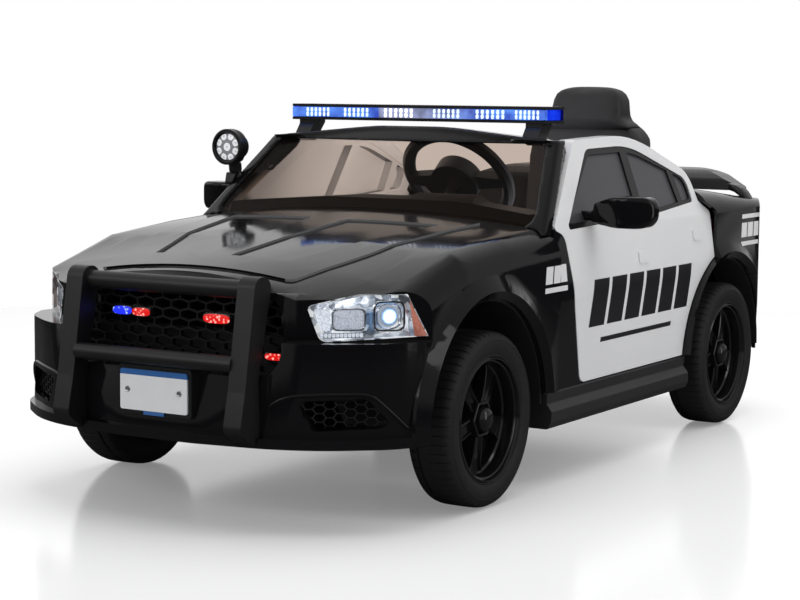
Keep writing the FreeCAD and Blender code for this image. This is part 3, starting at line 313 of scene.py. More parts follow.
def bar_glow(name):
    """Lit back of the light bar behind its lenses, brighter in patches."""
    f = Finish(name)
    patch = f.fade(f.noise(38.0, 2.0), 0.35, 0.65)
    clear = f.between(patch, (0.12, 0.14, 0.24), (0.34, 0.38, 0.62))
    blue = f.between(patch, (0.02, 0.06, 0.50), (0.10, 0.30, 1.0))
    return f.plain(base=f.between(f.noise(60.0), (0.02, 0.02, 0.03), (0.04, 0.04, 0.06)),
                   rough=f.spread(f.noise(200.0), 0.2, 0.4), glow=f.between(bar_ends(f), clear, blue), power=1.0)


def lamp_disc(name):
    """Face of the spotlight: bright cups, each with a lit core, round one in the middle."""
    f = Finish(name)
    x, _, z = f.place()
    across, rise = x - spot_at.x, z - spot_at.z
    distance = (across * across + rise * rise) ** 0.5
    sector = (rise.maths("ARCTAN2", across) + 4 * pi) % (pi / 4) - pi / 8
    ring_r, squash = 0.0150, 0.877583
    along = distance * squash - ring_r
    aside = distance * sector.maths("SINE")
    ringed = (along * along + aside * aside) ** 0.5
    core = (ringed < 0.0020).either(distance < 0.0022)
    cup = (ringed < 0.0050).either(distance < 0.0062)
    tone = f.between(cup, (0.20, 0.20, 0.21), (0.80, 0.81, 0.83))
    return f.plain(base=f.between(core, tone, (0.30, 0.30, 0.32)), rough=f.spread(f.noise(300.0, 2.0), 0.1, 0.2),
                   glow=f.between(core, tone, (0.95, 0.96, 1.0)), power=0.45, coat=0.6)


def lamp_bowl(name):
    """Faceted bright bowl with painted light: painted glints glow on its facets, bluish round the projector."""
    f = Finish(name)
    tone = f.node("SeparateColor", {0: f.cells(95.0, "Color")})
    soft = f.noise(45.0, 3.0)
    # Painted glints: the facets glow from dark to white, standing in for the lamps' light reflected in the bowl.
    painted_glints = f.node("ValToRGB", {0: tone * 0.6 + soft * 0.4}, stops=[
        (0.28, (0.02, 0.023, 0.03)), (0.42, (0.10, 0.115, 0.14)), (0.58, (0.45, 0.48, 0.52)),
        (0.70, (1.0, 1.0, 1.0))])
    x, y, z = f.place()
    across, along, rise = abs(x) - 0.252, y + 0.546, z - 0.262
    # Painted glow: the bowl glows blue close to the projector.
    near = f.fade(across * across + along * along + rise * rise, 0.0007, 0.0002)
    glow = f.between(near, painted_glints, f.between(tone, (0.02, 0.07, 0.16), (0.30, 0.55, 0.95)))
    return f.plain(base=f.between(tone, (0.55, 0.57, 0.60), (0.80, 0.82, 0.85)), metallic=1.0,
                   rough=f.spread(soft, 0.10, 0.24), glow=glow, power=0.55, normal=f.bump(tone, 0.0012, 0.5))


def projector_face(name):
    """Projector of a headlamp: white core, cold blue rim, dark ring at its edge."""
    f = Finish(name)
    x, y, z = f.place()
    across, along, rise = abs(x) - projector_at.x, y - projector_at.y, z - projector_at.z
    distance = (across * across + along * along + rise * rise) ** 0.5
    grain = f.noise(260.0, 2.0) * 0.12
    glow = f.node("ValToRGB", {0: distance * 72.0 + grain - 0.06}, stops=[
        (0.0, (1.0, 1.0, 1.0)), (0.46, (0.95, 0.98, 1.0)), (0.60, (0.25, 0.48, 0.85)),
        (0.74, (0.06, 0.09, 0.15)), (0.90, (0.16, 0.18, 0.21))])
    return f.plain(base=f.between(grain * 8.0, (0.25, 0.27, 0.30), (0.45, 0.47, 0.50)),
                   rough=f.spread(grain * 8.0, 0.05, 0.1), glow=glow, power=1.6)


def glowing_body(name, glow, core):
    """Small flashing lamp: saturated body with bright points along it."""
    f = Finish(name)
    cells = f.cells(210.0)
    points = f.fade(cells, 0.42, 0.10)
    return f.plain(base=f.between(points, shaded(glow, 0.4), glow), rough=f.spread(cells, 0.12, 0.25),
                   glow=f.between(points, glow, core), power=1.7)


def plated(name, base=(0.86, 0.87, 0.89), rough=0.07):
    """Bright vacuum plating with a slightly wavy, faintly hazed surface."""
    f = Finish(name)
    return f.plain(base=f.between(f.noise(30.0, 3.0), shaded(base, 0.93), base), metallic=1.0,
                   rough=f.spread(f.noise(240.0, 3.0), rough * 0.7, rough * 1.5),
                   normal=f.bump(f.noise(70.0, 2.0), 0.0003, 0.3))


def lit(name, glow, strength, base=(0.8, 0.8, 0.85)):
    """A lamp face that is on: brightest in its cells."""
    f = Finish(name)
    cells = f.cells(420.0)
    return f.plain(base=f.between(cells, base, shaded(base, 0.6)), rough=f.spread(cells, 0.12, 0.25),
                   glow=f.between(cells, glow, shaded(glow, 0.55)), power=strength)


def metal(name, base, rough):
    """Bare metal, drawn along X."""
    f = Finish(name)
    x, y, z = f.place()
    lines = f.noise(1.0, 3.0, 0.6, spot=f.node("CombineXYZ", {0: x * 40.0, 1: y * 600.0, 2: z * 600.0}))
    return f.plain(base=f.between(f.noise(25.0), shaded(base, 0.85), base), metallic=1.0,
                   rough=f.spread(lines, rough * 0.8, rough * 1.3), normal=f.bump(lines, 0.00003))


def leathery(name):
    """Black leather-like cover: cells with fine creases between them."""
    f = Finish(name)
    cells = f.cells(420.0)
    creases = f.cells(150.0, feature="DISTANCE_TO_EDGE")
    height = cells * 0.4 + (creases * 9.0).maths("MINIMUM", 0.4)
    return f.plain(base=f.between(f.noise(11.0, 4.0), (0.013, 0.013, 0.014), (0.024, 0.024, 0.026)),
                   rough=f.spread(cells, 0.42, 0.56), sheen=0.45, normal=f.bump(height, 0.00025, 0.7))


def plate_face(name):
    """Blank white plate with a blue band along its top."""
    f = Finish(name)
    band = f.place()[2] > 0.1835
    white = f.between(f.noise(40.0, 3.0), (0.70, 0.71, 0.73), (0.76, 0.77, 0.78))
    return f.plain(base=f.between(band, white, (0.02, 0.11, 0.34)),
                   rough=f.spread(f.noise(300.0, 3.0), 0.28, 0.4), normal=f.bump(f.noise(500.0, 2.0), 0.00003))


body_black = glossy_black("polished black body")
# Painted highlight: the bonnet's step walls get a paler grey than the black moulding around them.
step_painted_highlight = moulded("painted highlight on bonnet step", (0.17, 0.17, 0.175), 0.45, 900.0)
# Painted highlight: the rounding along each step's top gets a pale grey hairline.
crease_painted_highlight = moulded("painted highlight on crease", (0.42, 0.42, 0.43), 0.35, 900.0)
wing_black = glossy_black("polished black wing with bars", WING_BARS)
quarter_black = glossy_black("polished black quarter with bars", QUARTER_BARS, 0.25)
door_white = white_door("white door with dark blocks")
trim_black = moulded("satin trim", (0.010, 0.010, 0.011), 0.28, 900.0)
surround_black = two_faced("window surround", (0.008, 0.008, 0.009), (0.74, 0.74, 0.75), 0.25)
pane_grey = two_faced("smoked pane", (0.066, 0.064, 0.071), (0.74, 0.74, 0.75), 0.30)
bar_black = moulded("push bar skin", (0.0085, 0.0085, 0.0095), 0.42, 1300.0, 0.00008, sheen=0.4)
grille_black = moulded("grille lattice", (0.011, 0.011, 0.012), 0.24, 700.0)
under_black = moulded("chassis plastic", (0.011, 0.011, 0.012), 0.55, 600.0, 0.0001)
sill_black = moulded("sill plastic", (0.018, 0.018, 0.020), 0.42, 1000.0)
rim_black = moulded("rim plastic", (0.0060, 0.0060, 0.0065), 0.15, 900.0, 0.00003, sheen=0.6)
dash_black = moulded("dashboard plastic", (0.019, 0.023, 0.029), 0.5, 800.0, 0.0001)
grip_black = moulded("hand wheel grip", (0.013, 0.017, 0.023), 0.38, 1200.0)
gear_grey = moulded("gearbox plastic", (0.16, 0.16, 0.17), 0.45, 700.0)
battery_grey = moulded("battery case", (0.05, 0.05, 0.055), 0.4, 700.0)
tyre_black = rubbery("foam rubber tyre")
axle_steel = metal("drawn steel", (0.55, 0.55, 0.56), 0.32)
screen_tint = clear_sheet("brown tinted screen", (0.76, 0.69, 0.64))
lens_clear = clear_sheet("clear lens", (0.97, 0.98, 0.99), 0.02)
lens_bar = bar_lens("light bar lens")
glow_bar = bar_glow("light bar glow")
spot_face = lamp_disc("spotlight face")
chrome = plated("bright plating")
mirror_silver = plated("mirror glass", (0.80, 0.82, 0.83), 0.02)
# Painted glow: the side reflector is given an amber lamp glow of its own.
amber_painted_glow = lit("side reflector", (0.50, 0.17, 0.12), 0.32, (0.58, 0.21, 0.15))
red_lens = moulded("red lens", (0.30, 0.010, 0.012), 0.12, 300.0, 0.0002, coat=1.0)
tab_blue = moulded("blue plate tab", (0.03, 0.13, 0.38), 0.35, 700.0)
plate_white = plate_face("blank number plate")
seat_black = leathery("seat cover")
beam_lit = projector_face("lit projector")
strip_lit = lit("light strip", (0.85, 0.9, 1.0), 0.75, (0.7, 0.72, 0.75))
# The reflector bowl's finish carries painted glints and a painted blue glow.
bowl_painted_glints = lamp_bowl("lamp bowl with painted glints")
module_lit = lit("fluted lens", (0.75, 0.82, 0.95), 0.35)
bar_lit = lit("lit light bar cell", (0.62, 0.82, 1.0), 1.35)
blue_lit = glowing_body("lit blue lamp", (0.010, 0.02, 0.62), (0.40, 0.55, 1.0))
cell_white = lit("white light bar cell", (1.0, 1.0, 1.0), 1.7)
red_lit = glowing_body("lit red lamp", (0.40, 0.006, 0.005), (1.0, 0.42, 0.36))


# ------------------------------------------------------------------ making meshes
def placed(name, data):
    piece = bpy.data.objects.new(name, data)
    bpy.context.scene.collection.objects.link(piece)
    return piece


def from_bmesh(name, bm, finish, smooth=35.0):
    """The bmesh as a smoothed piece; edges over `smooth` degrees stay sharp."""
    mesh = bpy.data.meshes.new(name)
    bm.to_mesh(mesh)
    bm.free()
    for layer in ("custom_normal", "sharp_face", "sharp_edge"):
        if layer in mesh.attributes:
            mesh.attributes.remove(mesh.attributes[layer])
    mesh.materials.append(finish)
    for face in mesh.polygons:
        face.use_smooth = True
        face.material_index = 0
    mesh.set_sharp_from_angle(angle=radians(smooth))
    return placed(name, mesh)


def settled(piece, *steps):
    """The piece with its modifiers, and those given as (type, settings), made part of its mesh."""
    for kind, settings in steps:
        modifier = piece.modifiers.new(kind.lower(), kind)
        for name, setting in settings.items():
            setattr(modifier, name, setting)
    graph = bpy.context.evaluated_depsgraph_get()
    mesh = bpy.data.meshes.new_from_object(piece.evaluated_get(graph), depsgraph=graph)
    piece.modifiers.clear()
    old = piece.data
    piece.data = mesh
    bpy.data.meshes.remove(old)
    return piece


def merged(node):
    """The solid's mesh with its loose triangles joined."""
    bm = bmesh.new()
    bm.from_mesh(solid[node].data)
    for layer in list(bm.loops.layers.float_vector):
        bm.loops.layers.float_vector.remove(layer)
    bmesh.ops.remove_doubles(bm, verts=bm.verts, dist=0.00002)
    return bm


def on(body, slot, *pieces, stands_for=()):
    """Rides the pieces on a body and hides the solids they stand for; `slot` is not used."""
    for piece in pieces:
        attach(piece, body)
    if stands_for:
        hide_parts(*stands_for)


def dressed(node, slot, finish, bevel, smooth=32.0):
    """A joined, smoothed copy of a solid with softened edges, standing for it."""
    bm = merged(node)
    bmesh.ops.dissolve_limit(bm, angle_limit=radians(0.5), verts=bm.verts, edges=bm.edges)
    piece = settled(from_bmesh(node + "_skin", bm, finish, smooth),
                    ("BEVEL", dict(width=bevel, segments=2, limit_method="ANGLE", angle_limit=radians(38.0),
                                   harden_normals=True)))
    on(body_of(solid[node])[0], slot, piece, stands_for=[node])
    return piece


def rounded(node, slot, finish, voxel, rounds):
    """The solid with every edge worn round, standing for it."""
    piece = settled(from_bmesh(node + "_skin", merged(node), finish),
                    ("REMESH", dict(mode="VOXEL", voxel_size=voxel, use_smooth_shade=True)),
                    ("SMOOTH", dict(factor=0.5, iterations=rounds)))
    on(body_of(solid[node])[0], slot, piece, stands_for=[node])


def refinished(piece, finish, chosen):
    """Gives the faces that `chosen` picks a finish of their own."""
    bm = bmesh.new()
    bm.from_mesh(piece.data)
    picked = [face.index for face in bm.faces if chosen(face)]
    bm.free()
    piece.data.materials.append(finish)
    for number in picked:
        piece.data.polygons[number].material_index = len(piece.data.materials) - 1


def narrow(face, width):
    """Whether a face is a strip no wider than `width`."""
    return face.calc_area() < width * max(e.calc_length() for e in face.edges)


panel_x = 0.226                  # the bonnet inside its shut lines
panel_front, panel_back = -0.588, -0.151
step_w, rounding_w = 0.014, 0.0018


def panel_step(face):
    """Whether a face belongs to a shallow step inside the bonnet's outline."""
    middle = face.calc_center_median()
    level = abs(face.normal.z)
    return (abs(middle.x) < panel_x and panel_front < middle.y < panel_back
            and (level < 0.5 and narrow(face, step_w) or level < 0.95 and narrow(face, rounding_w)))


def panel_edge(face):
    """Whether a face is the narrow rounding along the top of such a step."""
    length = max(e.calc_length() for e in face.edges)
    return (panel_step(face) and narrow(face, rounding_w) and 0.2 < face.normal.z
            and all(e.is_convex for e in face.edges if e.calc_length() > 0.8 * length))


def tube(name, points, r, finish, sides=12):
    """Round bar through points, its corners cut off twice."""
    line = [Vector(p) for p in points]
    for _ in range(2):
        cut = [line[0]]
        for a, b in zip(line, line[1:]):
            cut += [a.lerp(b, 0.25), a.lerp(b, 0.75)]
        line = cut + [line[-1]]
    loops = []
    for k, point in enumerate(line):
        onward = (line[min(k + 1, len(line) - 1)] - line[max(k - 1, 0)]).normalized()
        other = Vector((0.0, 0.0, 1.0)) if abs(onward.z) < 0.9 else Vector((1.0, 0.0, 0.0))
        aside = onward.cross(other).normalized()
        over = aside.cross(onward)
        loops.append([point + r * (cos(2 * pi * i / sides) * aside + sin(2 * pi * i / sides) * over)
                      for i in range(sides)])
    return skinned(name, loops, finish, smooth=50.0)


def painted(finish, *nodes):
    """Solids as they are, with a finish."""
    for node in nodes:
        for place in solid[node].material_slots:
            place.material = finish


def copies_tree():
    """Copies of one unit along a step and round a turn, joined into one mesh."""
    tree = bpy.data.node_groups.new("copies of a unit", "GeometryNodeTree")
    sockets = {}
    for name, kind in (("Unit", "Geometry"), ("Count", "Int"), ("Step", "Vector"), ("Turn", "Vector"),
                       ("Join", "Float"), ("Finish", "Material")):
        entry = tree.interface.new_socket(name=name, in_out="INPUT", socket_type="NodeSocket" + kind)
        sockets[name] = entry.identifier
    tree.interface.new_socket(name="Copies", in_out="OUTPUT", socket_type="NodeSocketGeometry")

    def node(kind, values=(), **settings):
        made = tree.nodes.new(kind)
        for name, setting in settings.items():
            setattr(made, name, setting)
        for key, value in dict(values).items():
            tree.links.new(value, made.inputs[key])
        return made.outputs[0] if made.outputs else made

    given = tree.nodes.new("NodeGroupInput").outputs
    index = node("GeometryNodeInputIndex")
    shift, turn = (node("ShaderNodeVectorMath", {0: given[way], "Scale": index}, operation="SCALE")
                   for way in ("Step", "Turn"))
    points = node("GeometryNodePoints", {"Count": given["Count"]})
    moved = node("GeometryNodeSetPosition", {"Geometry": points, "Position": shift})
    laid = node("GeometryNodeInstanceOnPoints", {"Points": moved, "Instance": given["Unit"], "Rotation": turn})
    whole = node("GeometryNodeRealizeInstances", {"Geometry": laid})
    joined = node("GeometryNodeMergeByDistance", {"Geometry": whole, "Distance": given["Join"]})
    coloured = node("GeometryNodeSetMaterial", {"Geometry": joined, "Material": given["Finish"]})
    node("NodeGroupOutput", {0: coloured})
    return tree, sockets


copies_group, copies_sockets = copies_tree()


def copied(unit, count, finish, step=(0.0, 0.0, 0.0), turn=(0.0, 0.0, 0.0), join=0.0, smooth=35.0):
    """The unit repeated by the copies tree, as one plain mesh."""
    maker = unit.modifiers.new("copies", "NODES")
    maker.node_group = copies_group
    for name, value in (("Count", count), ("Step", step), ("Turn", turn), ("Join", join), ("Finish", finish)):
        maker[copies_sockets[name]] = value
    settled(unit)
    unit.data.set_sharp_from_angle(angle=radians(smooth))
    return unit


def moved_mesh(piece, matrix):
    """Moves a piece's mesh, turning its faces out again where the move mirrors it."""
    piece.data.transform(matrix)
    if matrix.determinant() < 0:
        piece.data.flip_normals()
    return piece


def twin(piece, name, matrix):
    return moved_mesh(placed(name, piece.data.copy()), matrix)


def together(name, pieces):
    """Several pieces made one mesh; each keeps its finish."""
    bm = bmesh.new()
    finishes = []
    for piece in pieces:
        slots = []
        for finish in piece.data.materials:
            if finish not in finishes:
                finishes.append(finish)
            slots.append(finishes.index(finish))
        first = len(bm.faces)
        bm.from_mesh(piece.data)
        bm.faces.ensure_lookup_table()
        for face in bm.faces[first:]:
            face.material_index = slots[face.material_index] if slots else 0
    mesh = bpy.data.meshes.new(name)
    bm.to_mesh(mesh)
    bm.free()
    for finish in finishes:
        mesh.materials.append(finish)
    for piece in pieces:
        bpy.data.objects.remove(piece)
    return placed(name, mesh)


def turned(name, profile, finish, segments=96, closed=True, smooth=35.0):
    """Profile of (radius, x) turned about the X axis."""
    bm = bmesh.new()
    rings = []
    for radius, x in profile:
        if radius < 1e-6:
            rings.append([bm.verts.new((x, 0.0, 0.0))])
            continue
        angles = [2 * pi * k / segments for k in range(segments)]
        rings.append([bm.verts.new((x, radius * sin(angle), radius * cos(angle))) for angle in angles])
    pairs = list(zip(rings, rings[1:]))
    if closed:
        pairs.append((rings[-1], rings[0]))
    for a, b in pairs:
        for k in range(segments):
            n = (k + 1) % segments
            corners = [a[k % len(a)], a[n % len(a)], b[n % len(b)], b[k % len(b)]]
            corners = [c for i, c in enumerate(corners) if c is not corners[i - 1]]
            if len(corners) > 2:
                bm.faces.new(corners)
    bmesh.ops.recalc_face_normals(bm, faces=bm.faces)
    return from_bmesh(name, bm, finish, smooth)


def block(name, corners, along, depth, finish, bevel=0.0008, smooth=35.0):
    """A flat outline given depth, with small rounded edges."""
    bm = bmesh.new()
    face = bm.faces.new([bm.verts.new(c) for c in corners])
    grown = bmesh.ops.extrude_face_region(bm, geom=[face])
    top = [v for v in grown["geom"] if isinstance(v, bmesh.types.BMVert)]
    bmesh.ops.translate(bm, verts=top, vec=Vector(along).normalized() * depth)
    if bevel:
        bmesh.ops.bevel(bm, geom=bm.edges[:], offset=bevel, segments=2, affect="EDGES", profile=0.5)
    bmesh.ops.recalc_face_normals(bm, faces=bm.faces)
    return from_bmesh(name, bm, finish, smooth)


def aimed(origin, outward, upward=(0.0, 0.0, 1.0)):
    """Places local X along outward and local Z near upward, at the origin given."""
    x = Vector(outward).normalized()
    y = Vector(upward).cross(x).normalized()
    return Matrix.Translation(origin) @ Matrix((x, y, x.cross(y))).transposed().to_4x4()


def loop_of(half_y, half_z, x, power=4.0, count=48):
    """Rounded rectangle round the local X axis."""
    points = []
    for k in range(count):
        c, s = cos(2 * pi * k / count), sin(2 * pi * k / count)
        y = half_y * abs(c) ** (2.0 / power) * (1 if c >= 0 else -1)
        z = half_z * abs(s) ** (2.0 / power) * (1 if s >= 0 else -1)
        points.append((x, y, z))
    return points


def skinned(name, loops, finish, ring=False, smooth=35.0, flat_ends=False):
    """Closed skin through loops of points: capped at its ends, or joined into a ring."""
    bm = bmesh.new()
    rows = [[bm.verts.new(p) for p in loop] for loop in loops]
    pairs = list(zip(rows, rows[1:])) + ([(rows[-1], rows[0])] if ring else [])
    for a, b in pairs:
        for k in range(len(a)):
            n = (k + 1) % len(a)
            bm.faces.new((a[k], a[n], b[n], b[k]))
    for row in () if ring else (rows[0], rows[-1]):
        if flat_ends:
            bm.faces.new(row)
            continue
        middle = bm.verts.new(sum((v.co for v in row), Vector()) / len(row))
        for k in range(len(row)):
            bm.faces.new((row[k], row[(k + 1) % len(row)], middle))
    bmesh.ops.recalc_face_normals(bm, faces=bm.faces)
    return from_bmesh(name, bm, finish, smooth)


def pad_of(name, half_y, half_z, depth, finish, edge=0.0012, power=4.0, count=48):
    """Rounded pad on local X = 0, standing out by depth."""
    sizes = [(0.0, 0.0), (0.0, depth - edge), (edge * 0.3, depth - edge * 0.3), (edge, depth)]
    loops = [loop_of(half_y - inset, half_z - inset, x, power, count) for inset, x in sizes]
    return skinned(name, loops, finish)


def ring_pad(name, half_y, half_z, wide, depth, finish, power=4.0, count=48):
    """Rounded rectangular ring on local X = 0, standing out by depth."""
    edge = 0.0008
    sizes = [(0.0, 0.0), (0.0, depth - edge), (edge, depth),
             (wide - edge, depth), (wide, depth - edge), (wide, 0.0)]
    loops = [loop_of(half_y - inset, half_z - inset, x, power, count) for inset, x in sizes]
    return skinned(name, loops, finish, ring=True)


# ----------------------------------------------------------------------- body
bonnet = dressed("bonnet", "gloss_black", body_black, 0.0011, smooth=40.0)
# Painted highlights on the bonnet: paler greys on its step walls and on the roundings along their tops.
refinished(bonnet, step_painted_highlight, panel_step)
refinished(bonnet, crease_painted_highlight, panel_edge)
rounded("windscreen_frame", "gloss_black", body_black, 0.0022, 12)
dressed("steering_wheel", "satin_black", grip_black, 0.001, smooth=50.0)
tail_lamps = dressed("tail_lamps", "red_lens", red_lens, 0.0008)
refinished(tail_lamps, trim_black, lambda face: abs(face.normal.x) > 0.6)
for side, _ in SIDES:
    dressed("front_wing_" + side, "gloss_black", wing_black, soft_edge)
    dressed("door_" + side, "gloss_white", door_white, soft_edge)
    dressed("window_frame_" + side, "satin_black", surround_black, 0.0008)
    rounded("mirror_" + side, "gloss_black", body_black, 0.002, 14)
for node, slot, finish, bevel in (
    ("front_bumper", "gloss_black", body_black, soft_edge),
    ("rear_bumper", "gloss_black", body_black, soft_edge),
    ("rear_body", "gloss_black", quarter_black, soft_edge), ("spoiler", "satin_black", trim_black, 0.0012),
    ("push_bar", "matte_black", bar_black, 0.0016), ("plate_holder", "satin_black", grille_black, 0.001),
    ("sills", "satin_black", sill_black, 0.0012), ("dashboard", "satin_black", dash_black, 0.0015),
    ("light_bar_base", "satin_black", trim_black, 0.0006), ("spotlight", "satin_black", trim_black, 0.0008),
):
    dressed(node, slot, finish, bevel)
painted(pane_grey, "door_glass_left", "door_glass_right")
painted(screen_tint, "windscreen_glass")
painted(grille_black, "grille")
painted(under_black, "chassis")
painted(plate_white, "number_plate")
painted(lens_bar, "light_bar_blue", "light_bar_clear")
painted(battery_grey, "battery")
painted(gear_grey, "gearboxes")
painted(axle_steel, "steering_column", "front_axle", "knuckle_left", "knuckle_right", "tie_rod", "rear_axle")


# --------------------------------------------------------------------- wheels
TREAD = metres([  # radius, distance in from the outer face
    (81.5, 4), (83.5, 2.6), (85, 3.1), (86.2, 2.2), (93, 0.6), (99.5, 0), (103, 0.6), (103.6, 0.1),
    (104.4, 0.9), (108.5, 2.2), (111.8, 4.6), (113.9, 8.5), (114.8, 13), (115, 20), (115, 34), (114.9, 45),
    (112, 45.7), (112, 47.8), (114.8, 48.5), (114.4, 54.5), (113.2, 59), (109, 62.5), (100, 64),
    (87, 63.2), (81.5, 60),
])
pitches = 60
GROOVE = [(0.0, 0.0), (0.30, 0.0), (0.40, 0.0), (0.44, 1.0), (0.56, 1.0), (0.60, 0.0), (0.70, 0.0), (1.0, 0.0)]


def tread_depth(inward):
    """Depth of the cross grooves at a place across the tyre."""
    if 0.0045 < inward < 0.0300:
        return 0.0011
    if 0.0500 < inward < 0.0600:
        return 0.0016
    return 0.0


def tyre_unit():
    """One pitch of the tyre, with half a land each side of a cross groove."""
    bm = bmesh.new()
    columns = []
    for share, cut in GROOVE:
        angle = 2 * pi * share / pitches
        column = []
        for radius, inward in TREAD:
            r = radius - cut * tread_depth(inward)
            column.append(bm.verts.new((wheel_out_x - inward, r * sin(angle), r * cos(angle))))
        columns.append(column)
    for a, b in zip(columns, columns[1:]):
        for i in range(len(TREAD)):
            n = (i + 1) % len(TREAD)
            bm.faces.new((a[i], b[i], b[n], a[n]))
    return from_bmesh("tyre", bm, tyre_black)


SPOKE = metres([  # radius, half width, depth of its face
    (18, 10.5, 19), (26, 9.5, 19.5), (45, 11, 21.5), (62, 14, 23.8), (71, 18.5, 25), (77.5, 27, 26.2),
])
BARREL = metres([  # radius, distance in from the outer face, as in CUP and CAP
    (82.2, 4), (80.6, 2.2), (78.8, 2.6), (77.8, 5), (77.2, 7.5), (75.5, 8.2), (74.8, 10), (74.2, 24),
    (72, 26.2), (71.2, 30), (71.2, 39), (10, 40), (10, 50), (75, 50), (75.8, 59), (81, 61), (82.2, 60),
])
CUP = metres([
    (26.2, 36), (26.2, 15), (25.2, 13.6), (22.8, 13.2), (21.6, 14.2), (20, 18), (20, 36),
])
CAP = metres([
    (0, 3), (6, 3.4), (11, 4.8), (14.5, 7.2), (16.3, 10.5), (16.8, 14), (16.8, 36), (0, 36),
])


def from_outside(profile):
    return [(radius, wheel_out_x - inward) for radius, inward in profile]


def spoke_unit():
    """One channel-shaped spoke between the hub and the barrel."""
    loops = []
    for radius, half, face in SPOKE:
        section = [(-half, 0.036), (-half, face + 0.001), (-half + 0.001, face), (-half + 0.0026, face),
                   (-half + 0.0040, face + 0.0028), (half - 0.0040, face + 0.0028), (half - 0.0026, face),
                   (half - 0.001, face), (half, face + 0.001), (half, 0.036)]
        loops.append([(wheel_out_x - inward, across, radius) for across, inward in section])
    return skinned("spoke", loops, rim_black, smooth=40.0, flat_ends=True)


def hub_cup():
    """Six-sided cup round the domed cap."""
    loops = [[(x, r * sin(pi * k / 3 + pi / 6), r * cos(pi * k / 3 + pi / 6)) for k in range(6)]
             for r, x in from_outside(CUP)]
    return settled(skinned("cup", loops, rim_black, ring=True, smooth=30.0),
                   ("BEVEL", dict(width=0.0016, segments=3, limit_method="ANGLE", angle_limit=radians(25.0))))


tyre = copied(tyre_unit(), pitches, tyre_black, turn=(-2 * pi / pitches, 0.0, 0.0), join=0.00001)
spokes = copied(spoke_unit(), 5, rim_black, turn=(2 * pi / 5, 0.0, 0.0))
moved_mesh(spokes, Matrix.Rotation(pi, 4, "X"))
rim = together("rim", [spokes, turned("barrel", from_outside(BARREL), rim_black, 120, smooth=30.0), hub_cup(),
                       turned("cap", from_outside(CAP), rim_black, 64, closed=False, smooth=50.0)])
for end in ("front", "rear"):
    shift = Matrix.Translation((0.0, axle_y[end], axle_z))
    for side, hand in SIDES:
        body = end + "_wheel_" + side
        on(body, "tyre", twin(tyre, body + "_tyre", shift @ hand), stands_for=["tyre_" + end + "_" + side])
        on(body, "rim_black", twin(rim, body + "_rim", shift @ hand), stands_for=["rim_" + end + "_" + side])
bpy.data.objects.remove(tyre)
bpy.data.objects.remove(rim)


# ------------------------------------------------------------------ headlamps
def shell_of(name, node, keep, finish, thick):
    """Thin closed shell from the faces of a solid that `keep` picks."""
    bm = merged(node)
    bmesh.ops.delete(bm, geom=[f for f in bm.faces if not keep(f)], context="FACES")
    return settled(from_bmesh(name, bm, finish, 32.0), ("SOLIDIFY", dict(thickness=thick, offset=-1.0)))


def lens_face(face):
    middle = face.calc_center_median()
    return face.normal.y < -0.12 or (abs(face.normal.x) > 0.9 and abs(middle.x) > 0.300)


def amber_share(piece):
    """Cuts the lens ahead of its side reflector and gives that part its finish, an amber glow painted on the
    reflector.
    """
    bm = bmesh.new()
    bm.from_mesh(piece.data)
    for hand in (1.0, -1.0):
        flip = Vector((hand, 1.0, 1.0))
        top, foot = Vector((0.2836, -0.5146, 0.2824)) * flip, Vector((0.2886, -0.5092, 0.2364)) * flip
        outward = Vector((0.67, 0.74, 0.0)) * flip
        across = (foot - top).cross(lamp_way * flip).normalized()
        if across.dot(outward) < 0.0:
            across.negate()
        side = [v for v in bm.verts if v.co.x * hand > 0]
        parts = set(side) | {e for v in side for e in v.link_edges} | {f for v in side for f in v.link_faces}
        bmesh.ops.bisect_plane(bm, geom=list(parts), plane_co=top, plane_no=across)
        for face in bm.faces:
            middle = face.calc_center_median()
            if middle.x * hand > 0 and middle.y > -0.530 and (middle - top).dot(across) > 0:
                face.material_index = 1
    bm.to_mesh(piece.data)
    bm.free()
    piece.data.materials.append(amber_painted_glow)
    return piece


def flute_unit(wide, tall):
    """One upright half-round rib."""
    bulge = 0.0011
    loops = [[(bulge * sin(pi * k / 6), -wide / 2 * cos(pi * k / 6), z) for k in range(7)]
             for z in (-tall, tall)]
    return skinned("flute", loops, module_lit, smooth=50.0)


